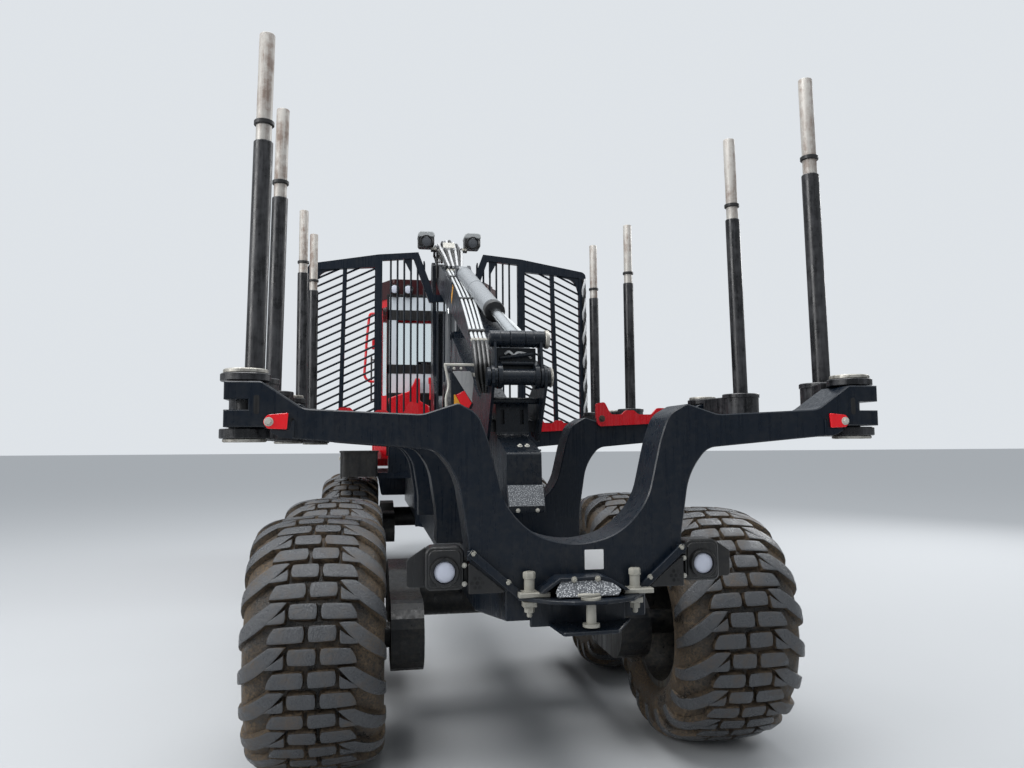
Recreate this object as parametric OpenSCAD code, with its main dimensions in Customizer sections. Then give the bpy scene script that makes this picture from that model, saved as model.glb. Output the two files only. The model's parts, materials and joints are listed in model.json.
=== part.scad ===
// Forestry forwarder: an eight-wheeled, centre-hinged timber carrier with a crane folded
// over its load space. X points to the machine's right, Y to its front and Z up from the
// ground. Heights are above the ground, and stations along Y are first counted from the
// rear face of the rearmost bolster.

/* [Wheels] */
// Diameter of a tyre over its lugs
tyre_d = 1340; // [1260:10:1380]
// Width of a tyre
tyre_w = 700; // [620:10:740]
// Height of the tread's lugs
lug_h = 38; // [20:1:45]
// Number of lugs on each side of a tyre
lug_count = 20; // [16:1:24]
// Outer diameter of the rim's barrel
rim_d = 672; // [640:2:700]
// Distance between the middles of the left and right tyres
track = 2228; // [2200:4:2280]
// Distance between the two wheels of a bogie
bogie_base = 1500; // [1450:10:1560]
// Radius of a wheel spindle
spindle_r = 70; // [60:1:80]
// Thickness of a wheel's disc
disc_t = 40; // [30:1:50]
// Radial clearance of a part that turns on a pin
running_gap = 0.05; // [0.02:0.01:0.09]

/* [Rear frame] */
// Station of the rear bogies' middle
rear_bogie_y = 2091; // [2050:1:2150]
// Width of the frame's box section
frame_w = 600; // [520:10:640]
// Height of the frame's top face
frame_top = 1130; // [1120:1:1140]
// Height of the frame's bottom face
frame_bottom = 850; // [820:5:880]
// Station where the rear frame's box ends
frame_front_y = 5950; // [5930:5:5980]
// Radius of the round housing behind the steering pivot
neck_r = 175; // [150:5:178]

/* [Steering pivot] */
// Station of the steering pivot
pivot_y = 6250; // [6240:5:6280]
// Radius of the pivot pin
pivot_pin_r = 45; // [35:1:60]
// Outer radius of the pivot's barrel
pivot_barrel_r = 115; // [100:1:120]
// Thickness of the fork's plates
fork_t = 50; // [40:1:60]

/* [Bolsters and stakes] */
// Thickness of a bolster along the machine
bolster_t = 220; // [200:5:240]
// Station of the second bolster's rear face
bolster_2_y = 1630; // [1600:5:1700]
// Station of the third bolster's rear face
bolster_3_y = 3580; // [3520:5:3620]
// Station of the front bolster's rear face
bolster_4_y = 4300; // [4250:5:4340]
// Distance from the middle to a stake's swing pin
swing_x = 1345; // [1340:1:1350]
// Radius of a swing pin
swing_pin_r = 40; // [30:1:50]
// Radius of the swing arm's round eyes
swing_eye_r = 98; // [85:1:98]
// Distance from the swing pin to the stake along the machine
swing_reach = 400; // [370:5:430]
// Inward lean of the rear two pairs of stakes
stake_lean = 1; // [0:0.1:1.5]
// Radius of the drum that holds a stake's foot
socket_r = 112; // [100:1:120]
// Radius of a stake's lower tube
stake_r = 44; // [36:1:50]
// Radius of a stake's extension
extension_r = 36; // [28:1:35]
// Height of the top of a stake's lower tube
stake_mid_z = 3140; // [2900:10:3300]
// Height of the top of a stake
stake_top_z = 3660; // [3400:10:3900]

/* [Headboard] */
// Station of the headboard's middle
headboard_y = 5290; // [5270:5:5300]
// Width of the headboard over its outer posts
headboard_w = 3080; // [2980:10:3120]
// Width of a headboard post
post_w = 80; // [60:5:90]
// Thickness of the headboard's frame
headboard_t = 60; // [40:5:70]
// Height of the middle of the headboard's top
headboard_top = 3850; // [3800:10:3900]
// Height of the floor of the notch for the crane
notch_z = 3380; // [3350:5:3385]
// Diameter of a headboard bar
bar_d = 22; // [16:1:28]
// Slope of the wings' bars, down to the outside
bar_slope = 26; // [10:1:30]
// Spacing in height of the wings' bars
bar_pitch = 85; // [70:5:110]

/* [Front section] */
// Station of the front bogies' middle
front_bogie_y = 7950; // [7920:5:8000]
// Station of the bumper's front face
nose_y = 9900; // [9860:5:9950]
// Width of the front frame
front_frame_w = 640; // [560:10:660]
// Height of the cab's floor
cab_floor_z = 1560; // [1540:5:1600]
// Height where the cab's walls end under the roof
cab_wall_z = 3640; // [3560:10:3700]
// Height of the roof's top
roof_top_z = 3900; // [3860:10:3950]
// Station of the cab's rear wall
cab_rear_y = 6880; // [6870:5:6900]
// Station of the cab's front wall at the floor
cab_front_y = 8440; // [8400:5:8450]
// Width of the cab
cab_w = 1640; // [1580:10:1700]
// Thickness of the cab's walls and of its door
cab_wall = 60; // [50:1:70]
// Thickness of the panes
pane_t = 8; // [5:1:12]
// Thickness of the hood's sheet with its stiffeners
hood_wall = 30; // [20:1:40]
// Height of the hood's top at its rear
hood_top_z = 2420; // [2300:10:2500]

/* [Crane] */
// Station of the boom's hinge
boom_hinge_y = 5800; // [5790:5:5820]
// Height of the boom's hinge
boom_hinge_z = 3750; // [3740:5:3770]
// Angle of the parked boom below level
boom_angle = 19.9; // [19.5:0.1:20.2]
// Length of the boom from pin to pin
boom_len = 4786; // [4700:2:4850]
// Width of the boom
boom_w = 250; // [200:5:270]
// Width of the stick
stick_w = 200; // [170:5:220]
// Width of the knuckle over its cheeks
knuckle_w = 328; // [310:2:340]
// Radius of the crane's main pins
crane_pin_r = 40; // [30:1:45]
// Outer radius of the stick cylinder's barrel
stick_barrel_r = 70; // [60:1:75]
// Radius of the stick cylinder's rod
stick_rod_r = 34; // [25:1:40]
// Outer radius of the lift cylinder's barrel
lift_barrel_r = 75; // [65:1:80]
// Radius of the lift cylinder's rod
lift_rod_r = 42; // [32:1:50]

/* [Grapple] */
// Thickness of a grapple jaw across the machine
jaw_w = 300; // [240:10:310]
// Length of a jaw from its pin to its tip
jaw_len = 760; // [700:10:800]

/* [Hidden] */
smooth = 48;
seat_gap = 0.3;
moving_gap = 5;

// Length of the upright box of the front fork
fork_box = 160;
// Deck of the front section and the boxes beside it
deck_z = 1330;
deck_top = 1400;
side_box_in = 780;
side_box_out = 1220;
side_box_z0 = 1360;
side_box_z1 = 1670;
side_box_front = cab_rear_y + 235;
// Tank across the deck behind the cab
tank_rear_y = 6510;
tank_front_y = 6830;
tank_top_z = 2060;
// Pin on which the hood tilts forward
hood_pin_y = nose_y - 110;
hood_pin_z = 1370;
hood_pin_r = 14;

// Crane's post, its cheeks and the pins of the boom and of the lift cylinder
post_y = 5660;
boom_hinge = [boom_hinge_y, boom_hinge_z];
cheek_in = boom_w / 2 + 10;
cheek_out = cheek_in + 40;
lift_foot = [5465, 2200];
lift_head = [5400, 3385];
lift_lug_in = 60;
// Knuckle and the ends of the stick cylinder
knuckle = on_boom(boom_len, 0);
stick_foot_u = 1700;
stick_foot_v = 225;
rocker_out = knuckle_w / 2 - 18;
stick_foot = on_boom(stick_foot_u, stick_foot_v);
stick_head = on_boom(boom_len - 110, 205);
stick_lug_in = 45;
foot_pin_r = 28;
// Stick's lower rear corner, its upright height, wall and the station of its front end
stick_rear = knuckle - [180, 776];
stick_h = 300;
stick_wall = 12;
stick_tip_y = stick_rear.x + 3060;
// Pin at the extension's nose with the hanger, the rotator and the jaws below it
tip = stick_rear + [3330, 1455];
tip_pin_r = 30;
nose_half = 60;
rotator_top = 2610;
jaw_pin_y = 110;
jaw_pin_z = 2310;
jaw_pin_r = 28;

// The origin lies on the ground under the middle of the machine's length.
hitch_reach = 190;
hitch_pin_y = -145;
hitch_plate_z = 1070;
hitch_plate_t = 50;
centre_y = (nose_y - hitch_reach) / 2;

// Like nodes come from tables: name, side (-1 left, 1 right) and what tells them apart.
SIDE = 1;
// Wheels: name, side, station of the axle
AXLE_Y = 2;
WHEELS = [
    for (b = [["rear", rear_bogie_y], ["front", front_bogie_y]])
        for (p = [["aft", -0.5], ["fore", 0.5]])
            for (s = [["left", -1], ["right", 1]])
                [str("wheel_", b[0], "_", p[0], "_", s[0]), s[1], b[1] + p[1] * bogie_base]
];
// Bolsters: station of the rear face, way the parked stakes' arms point (-1 aft, 1 fore)
BOLSTERS = [[0, 1], [bolster_2_y, -1], [bolster_3_y, -1], [bolster_4_y, -1]];
// Distance of each parked stake outside its swing pin, left and right, from the rear
STAKE_OUT = [[25, 110], [45, 75], [65, 25], [37, -80]];
// Stakes: name, side, station of the swing pin, way the parked arm points, out, lean
PIN_Y = 2;
WAY = 3;
OUT = 4;
LEAN = 5;
STAKES = [
    for (i = [0:len(BOLSTERS) - 1])
        for (s = [["left", -1, 0], ["right", 1, 1]]) [
            str("stake_", i + 1, "_", s[0]), s[1], BOLSTERS[i][0] + bolster_t / 2, BOLSTERS[i][1],
            STAKE_OUT[i][s[2]], i < 2 ? stake_lean : 0
        ]
];

// Arc of radius r that blends corner q between its neighbours p and s.
function blend_arc(p, q, s, r, n) =
    let (
        a = (p - q) / norm(p - q),
        b = (s - q) / norm(s - q),
        half = acos(max(-1, min(1, a * b))) / 2,
        c = q + (a + b) / norm(a + b) * r / sin(half),
        t = r / tan(half),
        from = q + a * t - c,
        to = q + b * t - c,
        start = atan2(from.y, from.x),
        turn = (atan2(to.y, to.x) - start + 900) % 360 - 180
    )
    [for (i = [0:n]) c + r * [cos(start + turn * i / n), sin(start + turn * i / n)]];

// Outline from corners [x, y, blend radius]; a corner without a radius stays sharp.
function outline(corners, n = 5) = [
    for (i = [0:len(corners) - 1])
        let (
            k = len(corners),
            q = corners[i],
            p = corners[(i + k - 1) % k],
            s = corners[(i + 1) % k]
        )
        each is_undef(q[2]) || q[2] == 0 ? [[q.x, q.y]]
            : blend_arc([p.x, p.y], [q.x, q.y], [s.x, s.y], q[2], n)
];

// Moves what is built at its station into the part's own frame.
module machine() {
    translate([0, -centre_y, 0]) children();
}

// Plate with an outline in Y and Z, from x0 to x1.
module side_plate(x0, x1, corners) {
    translate([x0, 0, 0]) rotate([90, 0, 90]) linear_extrude(x1 - x0) polygon(outline(corners));
}

// Plate with an outline in X and Z, from y0 to y1.
module cross_plate(y0, y1, corners) {
    translate([0, y1, 0]) rotate([90, 0, 0]) linear_extrude(y1 - y0) polygon(outline(corners));
}

// Plate with an outline in X and Y, from z0 to z1.
module flat_plate(z0, z1, corners) {
    translate([0, 0, z0]) linear_extrude(z1 - z0) polygon(outline(corners));
}

// Round bar across the machine at station y and height z.
module bar_x(x0, x1, y, z, r) {
    translate([x0, y, z]) rotate([0, 90, 0]) cylinder(h = x1 - x0, r = r, $fn = smooth);
}

// Round bar along the machine.
module bar_y(x, y0, y1, z, r) {
    translate([x, y0, z]) rotate([-90, 0, 0]) cylinder(h = y1 - y0, r = r, $fn = smooth);
}

// Upright round bar.
module bar_z(x, y, z0, z1, r) {
    translate([x, y, z0]) cylinder(h = z1 - z0, r = r, $fn = smooth);
}

// Round bar between two points [y, z] of one lengthwise plane.
module strut(p, q, r, x = 0) {
    d = q - p;
    translate([x, p.x, p.y]) rotate([atan2(d.y, d.x) - 90, 0, 0])
        cylinder(h = norm(d), r = r, $fn = smooth);
}

// Block between two corners.
module block(a, b) {
    translate(a) cube(b - a);
}

// Tread lug that points up from the wheel's axis: a bent bar from the middle to the shoulder.
module lug(side) {
    half_w = tyre_w / 2;
    mirror([side < 0 ? 1 : 0, 0, 0])
        flat_plate(tyre_d / 2 - lug_h - 90, tyre_d / 2 + 10, [
            [15, -66], [150, -28], [half_w + 10, 34], [half_w + 10, 96], [140, 44], [15, 6]
        ]);
}

// Wheel with its tyre, built about its own axis along X with the outer side at +X.
module wheel_shape() {
    tyre_r = tyre_d / 2;
    carcass_r = tyre_r - lug_h;
    rim_r = rim_d / 2;
    half_w = tyre_w / 2;
    rim_half = half_w - 65;
    barrel_in = rim_r - 36;
    flange_r = rim_r + 34;
    disc_x = 90;
    hub_r = spindle_r + 80;
    pitch = 360 / lug_count;
    rotate([0, 90, 0]) rotate_extrude($fn = 72) polygon(outline([
        [spindle_r + running_gap, disc_x - 60],
        [spindle_r + running_gap, disc_x + 130],
        [hub_r, disc_x + 130],
        [hub_r, disc_x + disc_t],
        [barrel_in, disc_x + disc_t],
        [barrel_in, rim_half],
        [flange_r, rim_half],
        [flange_r, rim_half - 22],
        [rim_r + 110, half_w - 14, 80],
        [carcass_r - 20, half_w - 26, 60],
        [carcass_r, 200],
        [carcass_r, -200],
        [carcass_r - 20, 26 - half_w, 60],
        [rim_r + 110, 14 - half_w, 80],
        [flange_r, 22 - rim_half],
        [flange_r, -rim_half],
        [barrel_in, -rim_half],
        [barrel_in, disc_x],
        [hub_r, disc_x],
        [hub_r, disc_x - 60]
    ], 3));
    intersection() {
        rotate([0, 90, 0]) rotate_extrude($fn = 72) polygon([
            [carcass_r - 70, -half_w], [tyre_r - 50, -half_w], [tyre_r, 70 - half_w],
            [tyre_r, half_w - 70], [tyre_r - 50, half_w], [carcass_r - 70, half_w]
        ]);
        for (i = [0:lug_count - 1]) {
            rotate([i * pitch, 0, 0]) lug(1);
            rotate([(i + 0.5) * pitch, 0, 0]) lug(-1);
        }
    }
}

module wheel(w) {
    color("#26241f") machine()
        translate([w[SIDE] * track / 2, w[AXLE_Y], tyre_d / 2])
            if (w[SIDE] > 0) wheel_shape();
            else mirror([1, 0, 0]) wheel_shape();
}

// Axle beam with the two bogie cases and the four spindles of one end of the machine.
module bogie_axle(mid_y) {
    wheel_z = tyre_d / 2;
    beam_z = wheel_z + 70;
    case_out = track / 2 - tyre_w / 2 - 30;
    case_in = case_out - 180;
    disc_x = track / 2 + 90;
    aft = mid_y - bogie_base / 2;
    fore = mid_y + bogie_base / 2;
    bar_x(-case_in - 1, case_in + 1, mid_y, beam_z, 130);
    for (s = [-1, 1]) {
        side_plate(s > 0 ? case_in : -case_out, s > 0 ? case_out : -case_in, [
            [aft - 200, wheel_z - 190, 180],
            [aft + 260, wheel_z - 190, 200],
            [mid_y - 180, wheel_z - 120, 200],
            [mid_y + 180, wheel_z - 120, 200],
            [fore - 260, wheel_z - 190, 200],
            [fore + 200, wheel_z - 190, 180],
            [fore + 200, wheel_z + 190, 180],
            [fore - 260, wheel_z + 190, 200],
            [mid_y + 240, wheel_z + 280, 200],
            [mid_y - 240, wheel_z + 280, 200],
            [aft + 260, wheel_z + 190, 200],
            [aft - 200, wheel_z + 190, 180]
        ]);
        for (y = [aft, fore])
            bar_x(
                s > 0 ? case_out - 1 : -(disc_x + 150),
                s > 0 ? disc_x + 150 : 1 - case_out,
                y, wheel_z, spindle_r
            );
    }
}

module rear_axle() {
    color("#1d2022") machine() bogie_axle(rear_bogie_y);
}

module front_axle() {
    color("#1d2022") machine() bogie_axle(front_bogie_y);
}

// Rear frame: box beam, round housing at its front and the barrel for the steering pin.
module rear_frame() {
    mid_z = (frame_top + frame_bottom) / 2;
    half = frame_w / 2;
    barrel_z0 = frame_bottom - 50;
    barrel_z1 = frame_top + 40;
    color("#20242a") machine() difference() {
        union() {
            difference() {
                flat_plate(frame_bottom, frame_top, [
                    [-half, 30], [half, 30], [half, frame_front_y], [-half, frame_front_y]
                ]);
                bar_x(-half - 1, half + 1, rear_bogie_y, tyre_d / 2 + 70, 130);
            }
            bar_y(0, frame_front_y - 1, frame_front_y + 190, mid_z, neck_r);
            block(
                [-90, frame_front_y + 150, frame_bottom + 20],
                [90, pivot_y - 20, frame_top - 20]
            );
            bar_z(0, pivot_y, barrel_z0, barrel_z1, pivot_barrel_r);
        }
        bar_z(0, pivot_y, barrel_z0 - 1, barrel_z1 + 1, pivot_pin_r + running_gap);
    }
}

// Right half of the rear bolster's face, from the foot up to the middle of its notch.
// Columns: distance from the middle, height, blend radius.
BOLSTER_HALF = [
    [450, 1130, 0], [450, 1300, 300], [498, 1600, 300], [585, 1706, 90], [1160, 1755, 60],
    [1215, 1776, 0], [1240, 1800, 0], [1410, 1800, 0], [1410, 1868, 0], [1318, 1868, 0],
    [1318, 1908, 0], [1410, 1908, 0], [1410, 1980, 0], [1270, 1980, 30], [1110, 1872, 90],
    [640, 1850, 120], [495, 1897, 30], [412, 1852, 105], [372, 1749, 700], [308, 1480, 290],
    [180, 1345, 290], [0, 1307, 340]
];

module bolster_shape() {
    difference() {
        cross_plate(0, bolster_t, concat(BOLSTER_HALF, [
            for (i = [len(BOLSTER_HALF) - 2:-1:0])
                [-BOLSTER_HALF[i][0], BOLSTER_HALF[i][1], BOLSTER_HALF[i][2]]
        ]));
        for (s = [0, 1]) mirror([s, 0, 0]) {
            bar_z(swing_x, bolster_t / 2, 1700, 2100, swing_pin_r + running_gap);
            cross_plate(-1, 25, [
                [1275, 1850, 10], [1297, 1850, 10], [1297, 1925, 10], [1275, 1925, 10]
            ]);
        }
    }
}

module bolsters() {
    color("#20242a") machine()
        for (b = BOLSTERS) translate([0, b[0], 0]) bolster_shape();
}

// Wavy guard plates along the tops of the middle bolsters' arms.
module bolster_guards() {
    low = 1868;
    color("#d8101c") machine()
        for (b = [1, 2], s = [0, 1]) translate([0, BOLSTERS[b][0] - 22 - seat_gap, 0]) mirror([s, 0, 0])
            cross_plate(0, 22, [
                [575, low - 30, 30], [1030, low - 8, 10], [1046, 1955, 10], [975, 1957, 20],
                [935, 1915, 25], [845, 1915, 25], [815, 1942, 30], [760, 1942, 30],
                [735, 1915, 25], [660, 1915, 30], [620, 1995, 20], [562, 1985, 20],
                [562, low + 30, 30]
            ]);
}

// Stake on its swing arm, drawn for the right side with the arm pointing fore.
module stake_shape(out, lean) {
    eye_low_z = 1756;
    eye_top_z = 2016;
    bolster_low_z = 1800;
    bolster_top_z = 1980;
    web_y = norm([1410 - swing_x, bolster_t / 2]) + 12;
    socket_top_z = 2030;
    stake_at = [out, swing_reach];
    bar_z(0, 0, eye_low_z, eye_top_z, swing_pin_r);
    for (z = [[eye_low_z, bolster_low_z - moving_gap], [bolster_top_z + moving_gap, eye_top_z]]) {
        bar_z(0, 0, z[0], z[1], swing_eye_r);
        flat_plate(z[0], z[1], [
            [-70, 0], [70, 0], [stake_at.x + 70, stake_at.y], [stake_at.x - 70, stake_at.y]
        ]);
    }
    flat_plate(eye_low_z, eye_top_z, [
        [-60, web_y], [70, web_y], [stake_at.x + 70, stake_at.y], [stake_at.x - 70, stake_at.y]
    ]);
    translate([stake_at.x, stake_at.y, 0]) bar_z(0, 0, eye_low_z, socket_top_z, socket_r);
    translate([stake_at.x, stake_at.y, socket_top_z - 20]) rotate([0, -lean, 0])
        translate([0, 0, 20 - socket_top_z]) {
            bar_z(0, 0, socket_top_z - 20, stake_mid_z, stake_r);
            bar_z(0, 0, stake_mid_z - 1, stake_top_z, extension_r);
            bar_z(0, 0, stake_mid_z + 80, stake_mid_z + 100, stake_r + 2);
        }
}

module stake(s) {
    color("#24262a") machine()
        translate([s[SIDE] * swing_x, s[PIN_Y], 0])
            mirror([s[SIDE] < 0 ? 1 : 0, 0, 0]) mirror([0, s[WAY] < 0 ? 1 : 0, 0])
                stake_shape(s[OUT], s[LEAN]);
}

// Headboard: posts, arched top rails, notch for the boom, upright and slanting bars.
module headboard() {
    y0 = headboard_y - headboard_t / 2;
    y1 = headboard_y + headboard_t / 2;
    half = headboard_w / 2;
    foot_z = 1900;
    mid_x = 790;
    notch_low = 200;
    notch_top = 360;
    rail = post_w * 0.9;
    color("#1c1f24") machine() difference() {
        union() {
            // right and left wings with the arched top rail
            for (s = [0, 1]) mirror([s, 0, 0]) {
                cross_plate(y0, y1, [
                    [mid_x - post_w / 2, foot_z], [mid_x + post_w / 2, foot_z],
                    [mid_x + post_w / 2, headboard_top - 110 - rail],
                    [half - post_w, headboard_top - 160 - rail], [half - post_w, foot_z],
                    [half, foot_z], [half, headboard_top - 170, 60],
                    [mid_x, headboard_top - 40, 400], [notch_top, headboard_top],
                    [notch_low - 20, notch_z - 10], [notch_low - 20, notch_z - 10 - rail],
                    [notch_low + 40, notch_z - 10 - rail], [notch_top + 50, headboard_top - rail],
                    [mid_x - post_w / 2, headboard_top - 30 - rail]
                ]);
                for (i = [1:6])
                    bar_z(
                        notch_low + 20 + i * 73, headboard_y, foot_z + 10,
                        headboard_top - rail - 20, bar_d / 2
                    );
                for (i = [0:22])
                    intersection() {
                        cross_plate(y0, y1, [
                            [mid_x, foot_z], [half - 5, foot_z], [half - 5, headboard_top - 190],
                            [mid_x, headboard_top - 90]
                        ]);
                        translate([mid_x, headboard_y, foot_z + 75 + i * bar_pitch])
                            rotate([0, 90 + bar_slope, 0])
                                cylinder(h = half, r = bar_d / 2, $fn = smooth);
                    }
            }
            block([-mid_x, y0, foot_z], [mid_x, y1, foot_z + rail]);
            block([-half, y0, foot_z], [half, y1, foot_z + rail]);
            block([-notch_low, y0, notch_z - rail], [notch_low, y1, notch_z]);
            for (i = [-2:2])
                bar_z(i * 73, headboard_y, foot_z + 10, notch_z - 10, bar_d / 2);
            for (s = [-1, 1])
                block([s * 260 - 60, y0, frame_top], [s * 260 + 60, y1, foot_z + 10]);
        }
        cross_plate(y0 - 1, y1 + 1, [
            [-notch_low, notch_z], [notch_low, notch_z], [notch_top, headboard_top + 200],
            [-notch_top, headboard_top + 200]
        ]);
    }
}

// Tow hitch: upper and lower plates with a pin hole, joined by a neck under the frame's end.
module tow_hitch() {
    pin_r = 25;
    cover_top_z = 1195;
    color("#22262b") machine() difference() {
        union() {
            flat_plate(hitch_plate_z, hitch_plate_z + hitch_plate_t, [
                [-130, -60, 20], [-90, -hitch_reach, 30], [90, -hitch_reach, 30], [130, -60, 20],
                [220, 30], [-220, 30]
            ]);
            flat_plate(890, 930, [
                [-130, -60, 20], [-80, 4 - hitch_reach, 30], [80, 4 - hitch_reach, 30],
                [130, -60, 20], [180, 30], [-180, 30]
            ]);
            block([-200, 0, frame_bottom + 20], [200, 30, frame_top - 10]);
            // grained cover and two bolted straps above the upper plate
            side_plate(-100, 150, [
                [-seat_gap, hitch_plate_z + hitch_plate_t - 1], [-seat_gap, cover_top_z],
                [-40, cover_top_z, 15], [-112, hitch_plate_z + hitch_plate_t - 1]
            ]);
            for (s = [-1, 1]) {
                block([s * 221 - 35, -70, 1119], [s * 221 + 35, -seat_gap, 1150]);
                bar_z(s * 221, -35, 1149, 1205, 24);
            }
        }
        bar_z(0, hitch_pin_y, 800, 1200, pin_r);
    }
}

// Tail lamp boxes with round lamps, their brackets and the braces below the rear bolster.
module tail_lamps() {
    lamp_z = 1212;
    color("#17191c") machine() for (s = [0, 1]) mirror([s, 0, 0]) {
        cross_plate(10, 110, [
            [478, 1140, 25], [628, 1140, 25], [628, 1316, 25], [478, 1316, 25]
        ]);
        bar_y(551, -14, 11, lamp_z, 50);
        block([BOLSTER_HALF[0].x, 40, 1160], [479, 90, 1260]);
        cross_plate(60, 76, [
            [627, 1150], [700, 1150, 15], [700, 1260, 15], [627, 1310]
        ]);
    }
}

// Moves what is drawn along -Y from the boom's hinge into the parked boom's direction.
module along_boom() {
    translate([0, boom_hinge_y, boom_hinge_z]) rotate([boom_angle, 0, 0]) children();
}

// Place [station, height] of a point that lies u along the parked boom and v above it.
function on_boom(u, v) = [
    boom_hinge_y - u * cos(boom_angle) - v * sin(boom_angle),
    boom_hinge_z - u * sin(boom_angle) + v * cos(boom_angle)
];

// Point at a share of the way from p to q.
function between(p, q, share) = p + (q - p) * share;

// Crane post: base on the frame, round column, and two cheeks that hold the boom's hinge.
module crane_post() {
    color("#20242a") machine() {
        bar_z(0, post_y, frame_top, frame_top + 90, 275);
        bar_z(0, post_y, frame_top + 89, 1851, 185);
        block([-cheek_out, post_y - 190, 1850], [cheek_out, post_y + 190, 1950]);
        difference() {
            for (s = [0, 1]) mirror([s, 0, 0])
                side_plate(cheek_in, cheek_out, [
                    [post_y - 230, 1851, 20], [post_y + 230, 1851, 20], [post_y + 230, 3300, 200],
                    [boom_hinge_y + 110, boom_hinge_z - 60, 80],
                    [boom_hinge_y + 100, boom_hinge_z + 110, 90],
                    [boom_hinge_y - 100, boom_hinge_z + 110, 90],
                    [post_y - 40, 3300, 200], [post_y - 110, 2500, 150], [post_y - 280, 2300, 60]
                ]);
            for (p = [boom_hinge, lift_foot])
                bar_x(-cheek_out - 1, cheek_out + 1, p.x, p.y, crane_pin_r + running_gap);
        }
        block([-cheek_in - 1, post_y + 60, 1949], [cheek_in + 1, post_y + 110, 3250]);
    }
}

// Boom with its fork for the stick, the hinge pin and the brackets of both cylinders.
module main_boom() {
    half = boom_w / 2;
    fork_len = 260;
    fork_in = half - 28;
    color("#1f2328") machine() {
        along_boom() difference() {
            union() {
                side_plate(-half, half, [
                    [105, -90, 80], [105, 90, 80], [-700, 150, 200], [-1700, 135, 400],
                    [150 - boom_len, 105, 60], [150 - boom_len, -105, 60], [-1700, -135, 400],
                    [-700, -150, 200]
                ]);
                side_plate(-half + 1, half - 1, [
                    [400 - boom_len, -80], [400 - boom_len, 80], [-boom_len - 20, 72, 60],
                    [-boom_len - 72, 0, 60], [-boom_len - 20, -72, 60]
                ]);
            }
            bar_x(-knuckle_w, knuckle_w, -boom_len, 0, crane_pin_r + running_gap);
            block([-fork_in, -boom_len - 200, -300], [fork_in, fork_len - boom_len, 300]);
            // room for the lift rod's eye, which leaves its pin's line as the boom rises
            block([7 - lift_lug_in, -620, -200], [lift_lug_in - 7, -320, -90]);
        }
        bar_x(-cheek_out, cheek_out, boom_hinge_y, boom_hinge_z, crane_pin_r);
        for (s = [0, 1]) mirror([s, 0, 0]) {
            side_plate(lift_lug_in, lift_lug_in + 30, [
                [lift_head.x - 50, lift_head.y - 50, 50], [lift_head.x + 60, lift_head.y - 50, 50],
                [lift_head.x + 160, lift_head.y + 170], [lift_head.x - 60, lift_head.y + 120]
            ]);
            bar_x(lift_lug_in + 29, lift_lug_in + 50, lift_head.x, lift_head.y, crane_pin_r);
        }
        along_boom() difference() {
            for (s = [0, 1]) mirror([s, 0, 0])
                side_plate(stick_lug_in, stick_lug_in + 25, [
                    [170 - stick_foot_u, 120], [60 - stick_foot_u, stick_foot_v + 60, 50],
                    [-60 - stick_foot_u, stick_foot_v + 60, 50], [-150 - stick_foot_u, 120]
                ]);
            bar_x(-400, 400, -stick_foot_u, stick_foot_v, foot_pin_r + running_gap);
        }
    }
}

// Two boxed work lamps on a cross bar over the boom's root.
module boom_lamps() {
    lamp_y = 5500;
    box_half = 92;
    color("#2b2e31") machine() {
        for (s = [0, 1]) mirror([s, 0, 0]) {
            side_plate(170, 170 + 2 * box_half, [
                [lamp_y - 90, 3960, 30], [lamp_y + 70, 3960, 40], [lamp_y + 90, 4130, 30],
                [lamp_y - 90, 4130, 30]
            ]);
            side_plate(boom_w / 2 + seat_gap, boom_w / 2 + 20, [
                [lamp_y - 40, 3620, 10], [lamp_y + 40, 3640, 10], [lamp_y + 30, 3950, 10],
                [lamp_y - 30, 3950, 10]
            ]);
            block([boom_w / 2 + seat_gap, lamp_y - 30, 3930], [200, lamp_y + 30, 3962]);
        }
    }
}

module lift_barrel() {
    color("#24282d") machine() {
        difference() {
            union() {
                strut(lift_foot, between(lift_foot, lift_head, 0.84), lift_barrel_r);
                bar_x(-cheek_in + 7, cheek_in - 7, lift_foot.x, lift_foot.y, 78);
            }
            strut(
                between(lift_foot, lift_head, 0.12), lift_head, lift_rod_r + running_gap
            );
        }
        bar_x(-cheek_out, cheek_out, lift_foot.x, lift_foot.y, crane_pin_r);
    }
}

module lift_rod() {
    color("#c8ccd0") machine() {
        strut(between(lift_foot, lift_head, 0.16), lift_head, lift_rod_r);
        bar_x(-lift_lug_in + 15, lift_lug_in - 15, lift_head.x, lift_head.y, 50);
    }
}

module stick_barrel() {
    color("#3a3f45") machine() {
        difference() {
            union() {
                strut(stick_foot, between(stick_foot, stick_head, 0.06), stick_lug_in - 5);
                strut(
                    between(stick_foot, stick_head, 0.05),
                    between(stick_foot, stick_head, 0.7), stick_barrel_r
                );
                bar_x(3 - stick_lug_in, stick_lug_in - 3, stick_foot.x, stick_foot.y, 55);
            }
            strut(
                between(stick_foot, stick_head, 0.1), stick_head, stick_rod_r + running_gap
            );
        }
        bar_x(-stick_lug_in - 25, stick_lug_in + 25, stick_foot.x, stick_foot.y, foot_pin_r);
    }
}

module stick_rod() {
    color("#d0d4d8") machine() {
        strut(between(stick_foot, stick_head, 0.2), stick_head, stick_rod_r);
        bar_x(-42, 42, stick_head.x, stick_head.y, 46);
    }
}

// Height of the stick's lower edge at a station.
function stick_low(y) = stick_rear.y + (y - stick_rear.x) * tan(boom_angle);

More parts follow.
